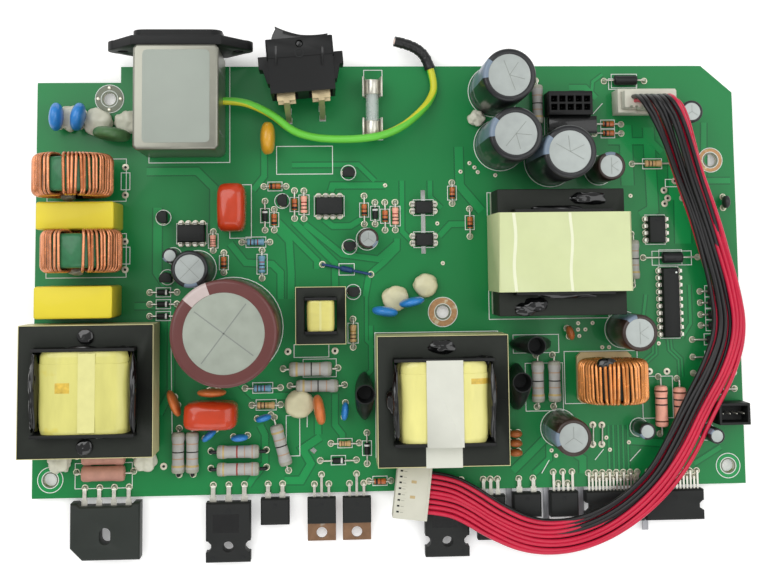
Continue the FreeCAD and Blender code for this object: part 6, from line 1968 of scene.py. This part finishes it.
@dataclass
class Leads:
    """Every visible lead: bent wires, shaped package legs and flat straps."""

    wire: float = 0.33
    leg_widths: Pair = (1.05, 1.7)
    leg_depth: float = 0.7
    pin_width: float = 1.1
    links: tuple[Triple, ...] = ((71.6, 15.4, 8.5), (74.9, 15.3, 8.5))
    sleeved: tuple[Quad, ...] = (
        (-67.0, 0.0, -62.5, 12.0), (-48.5, 0.0, -43.5, 12.0), (-79.0, -2.5, -67.0, 2.5),
    )
    blue_link: Quad = (-27.0, 69.2, -6.0, 75.2)

    def build(self) -> None:
        """Makes the leads, the board pins and two wire links."""
        pile = Pile("component_legs", "component_leads")
        for solid in solids("component_leads"):
            thin, wide = sorted(solid.size.xy)
            if solid.low.y < FRONT - 1:
                self._strap(pile, solid)
            elif self.leg_widths[0] < wide <= self.leg_widths[1] and thin > self.leg_depth:
                self._leg(pile, solid)
            elif wide > self.pin_width:
                self._wire(pile, solid)
            else:
                line = [Vector((solid.middle.x, solid.middle.y, z)) for z in (solid.low.z, solid.high.z)]
                pile.tube(line, wide * 0.42, TIN)
        for x, rear, front in self.links:
            rise = [(x, rear, TOP - 0.5), (x, rear, TOP + 1.0)]
            fall = [(x - 0.2, front, TOP + 1.0), (x - 0.2, front, TOP - 0.5)]
            pile.tube(bent(rise + fall, 0.8), 0.32, TIN)
        pile.piece(angle=50)
        polished("solder_pins", TIN, 0.08)
        pins = Pile("header_contacts", "header_pins")
        for solid in solids("header_pins"):
            half, low, high = solid.size.x * 0.6, solid.low.z, solid.high.z
            place = solid.stand() @ Matrix.Rotation(math.pi / 4, 4, "Z")
            profile = [(0, low), (half, low), (half, high - 0.5), (half * 0.5, high), (0, high)]
            pins.lathe(profile, TIN if solid.middle.y < 60 else DARK_MARK_AND_HOLE_SHADE, place, 4)
        pins.piece(angle=20)

    def _wire(self, pile: Pile, solid: Solid) -> None:
        """A round wire from a body's end, down into the board."""
        low = solid.points[:, 2] < solid.low.z + 0.1
        foot, head = Vector(solid.points[low].mean(0)), Vector(solid.points[~low].mean(0))
        inward = Vector((head.x - foot.x, head.y - foot.y, 0))
        inward = inward.normalized() * 0.6 if inward.length > 1e-3 else Vector()
        line = [head + inward, Vector((foot.x, foot.y, head.z)), Vector((foot.x, foot.y, TOP - 0.6))]
        wide, paint = 1.0, TIN
        for boxes, cover in (((self.blue_link,), (1.5, BLUE_TUBE)), (self.sleeved, (1.9, SHRINK))):
            if any(left < foot.x < right and front < foot.y < rear for left, front, right, rear in boxes):
                wide, paint = cover
        pile.tube(bent(line, 0.9, 5), self.wire * wide, paint)

    @staticmethod
    def _leg(pile: Pile, solid: Solid) -> None:
        """A package leg with a broad shoulder and a narrow pin."""
        along = X_AXIS if solid.size.x > solid.size.y else Y_AXIS
        across = Z_AXIS.cross(along)
        high, low = solid.high.z - solid.middle.z, solid.low.z - solid.middle.z
        half = [(-0.65, high), (-0.65, low + 1.1), (-0.26, low + 0.6), (-0.26, low - 0.3)]
        outline = half + [(-x, z) for x, z in reversed(half)]
        place = Matrix((along, Z_AXIS, across * -1)).transposed().to_4x4()
        place.translation = solid.middle + across * 0.14
        pile.slab(outline, 0.28, TIN, place)
        reach = along * 0.6 + across * 0.9
        corners = (solid.middle + Z_AXIS * (high - 0.3) - reach, solid.middle + Z_AXIS * high + reach)
        pile.block([min(pair) for pair in zip(*corners)], [max(pair) for pair in zip(*corners)], TIN)

    @staticmethod
    def _strap(pile: Pile, solid: Solid) -> None:
        """A flat lead from a package at the edge, over the board and down into it."""
        width, x = solid.size.x, solid.middle.x
        front, rear, height = solid.low.y, solid.high.y - STRAP_BEND, solid.high.z - 0.25
        line = [(x, front, height), (x, rear, height), (x, rear, min(TOP - 0.4, solid.low.z))]
        pile.ribbon(bent(line, 0.7, 4), width * 1.1, 0.48, TIN)
        if width > 0.9:
            pile.ribbon([Vector((x, front, height)), Vector((x, front + 2.0, height))], width * 1.7, 0.5, TIN)


@dataclass
class Packages:
    """Integrated circuits, transistors, rectifiers and their clamp."""

    tall: float = 8.0
    notched: float = 9.0
    dotted: float = 20.0

    def build(self) -> None:
        """Dresses the packages and adds their moulding marks."""
        self._dual_in_line()
        for node, finish, bevel in (
            ("small_transistors", PACKAGE, 0.2), ("bridge_rectifier", BRIDGE_CASE, 0.3),
            ("power_transistors", PACKAGE, 0.3), ("switching_transistors", PACKAGE, 0.2),
            ("switching_transistor_tabs", COPPER_TAB, 0.12), ("edge_rectifiers", PACKAGE, 0.2),
            ("driver_ics", PACKAGE, 0.2), ("device_clamp", CLAMP, 0.12),
        ):
            polished(node, finish, bevel)
        for node, radius, depth in (
            ("power_transistors", 1.1, 0.86), ("driver_ics", 0.9, 0.74), ("edge_rectifiers", 0.8, 0.74),
            ("switching_transistors", 0.8, 0.74),
        ):
            marks = Pile(node + "_marks", node)
            for solid in solids(node):
                x, y = solid.middle.x, solid.low.y + solid.size.y * depth
                height = polished_top(node, x, y)
                dimple = [(1.0, -0.02), (1.0, 0.025), (0.85, 0.03), (0.8, 0.01), (0, 0.01)]
                marks.lathe([(radius * share, rise) for share, rise in dimple], DARK_MARK_AND_HOLE_SHADE, at(x, y, height), 20)
                if node == "power_transistors":
                    left, front = x - solid.size.x * 0.34, solid.low.y + solid.size.y * 0.5
                    panel = rectangle(left, front, left + 9.0, front + 6.2)
                    marks.slab(panel, 0.04, BLACK_GLOSS, at(0, 0, height))
                    dent = [(0.9, -0.02), (0.9, 0.025), (0.75, 0.03), (0.7, 0.01), (0, 0.01)]
                    for side in (-1, 1):
                        marks.lathe(dent, DARK_MARK_AND_HOLE_SHADE, at(x + side * 5.2, solid.low.y + 1.8, height), 20)
            marks.piece()

    def _dual_in_line(self) -> None:
        """Bodies with drafted sides, a parting line, an end notch and a dot."""
        pile = Pile("ic_bodies", "ic_packages")
        for solid in solids("ic_packages"):
            low, high, middle = solid.low, solid.high, solid.middle
            if high.z > self.tall:
                pile.block(low, high, BLACK_GLOSS)
                continue
            rings = []
            for z, grow in ((low.z, -0.35), (middle.z - 0.12, 0.0), (middle.z + 0.12, 0.0), (high.z, -0.4)):
                corners = rectangle(low.x - grow, low.y - grow, high.x + grow, high.y + grow)
                rings.append([Vector((x, y, z)) for x, y in corners])
            pile.closed(rings, PACKAGE)
            if max(solid.size.xy) > self.notched:
                level = solid.size.x > solid.size.y
                end = Vector((high.x - 1.1, middle.y)) if level else Vector((middle.x, high.y - 1.1))
                pile.lathe([(0.95, 0), (0.95, 0.02), (0, 0.02)], DARK_MARK_AND_HOLE_SHADE, at(*end, high.z), 20)
                dot = end + (Vector((-0.6, 1.9)) if level else Vector((1.9, -0.6)))
                paint = SILK if solid.size.y > self.dotted else DARK_MARK_AND_HOLE_SHADE
                pile.lathe([(0.35, 0), (0.35, 0.02), (0, 0.02)], paint, at(*dot, high.z), 14)
        pile.piece(0.12)


@dataclass
class Connectors:
    """The headers on the board."""

    cream: Pair = (85.0, 100.0)

    def build(self) -> None:
        """Dresses the shells."""
        polished("board_headers", BLACK_MOULD, 0.15, self._shell)

    def _shell(self, solid: Solid, _centre: Vector, _normal: Vector) -> "Paint | None":
        """The cream shell of the harness header; the others stay black."""
        return NYLON if self.cream[0] < solid.middle.x < self.cream[1] else None


@dataclass
class Compounds:
    """Silicone beads, glue and shrink-fit boots."""

    glue_height: float = 20.0
    cream: Pair = (-40.0, 20.0)
    sides: int = 40
    mouths: tuple[float, ...] = (-3.0, 4.3, 0.4)
    boot_rings: tuple[Quad, ...] = (
        (0.0, 0.0, 0.9, 0.0), (0.0, 0.0, 0.98, 0.1), (0.0, 0.05, 0.96, 0.3), (0.3, 0.3, 0.95, 0.55),
        (0.7, 0.7, 0.98, 0.8), (1.0, 1.0, 1.0, 0.97), (1.0, 1.0, 1.0, 1.0), (1.0, 1.0, 0.9, 1.0),
        (1.0, 1.0, 0.86, 0.95), (1.0, 1.0, 0.7, 0.55),
    )

    def build(self) -> None:
        """Makes the soft lumps in the space of their solids."""
        gum = Pile("silicone_beads", "compound_dabs")
        for index, solid in enumerate(solids("compound_dabs")):
            half = Vector((solid.size.x * 0.52, solid.size.y * 0.49, solid.size.z * 0.5))
            black = solid.high.z > self.glue_height
            cream = self.cream[0] < solid.middle.x < self.cream[1]
            paint = BLACK_GLUE if black else SILICONE if cream else WHITE_GUM
            lumps = 0.12 if black or cream else 0.3
            gum.puffed(at(*solid.middle), half, paint, 2.1, 2.6, lumps, index * 2.3, 18, self.sides)
        gum.piece(angle=70)
        boots = Pile("boot_tubes", "sleeve_boots")
        for index, solid in enumerate(solids("sleeve_boots")):
            place, length, width = solid.lying()
            lean = self.mouths[index] / (length / 2)
            rings = []
            for shift, long, wide, height in self.boot_rings:
                ring = []
                reach = length / 2 * (1 - long) + width / 2 * long
                for u, v in circle(1.0, self.sides):
                    crease = noise.noise(Vector((u * 2.2, v * 2.2, height * 4 + index)))
                    out = wide * (1 + 0.04 * crease * (height < 0.9))
                    x = shift * lean * (length - reach * 2) / 2 + u * reach * out
                    ring.append(place @ Vector((x, v * width / 2 * out, (height - 0.5) * solid.size.z)))
                rings.append(ring)
            base = [place @ Vector((0, 0, -solid.size.z / 2))]
            inside = [rings[-1][0].lerp(rings[-1][self.sides // 2], 0.5)]
            boots.skin([base, *rings, inside], [SHRINK] * (len(rings) - 3) + [DARK_MARK_AND_HOLE_SHADE] * 4)
        boots.piece(angle=60)


def main() -> None:
    """Builds the whole scene in order."""
    logging.basicConfig(level=logging.INFO, format="%(message)s")
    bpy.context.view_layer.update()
    studio = Studio()
    studio.camera()
    parts = (
        Harness(), EarthLead(), CircuitBoard(), MainsInlet(), RockerSwitch(), GlassFuse(), WoundRings(),
        WoundCores(), Cans(), DippedParts(), Axials(), Leads(), Packages(), Connectors(), Compounds(),
    )
    for part in parts:
        log.info("Building: %s", type(part).__name__)
        part.build()
    studio.floor_and_lights()


if __name__ == "__main__":
    main()
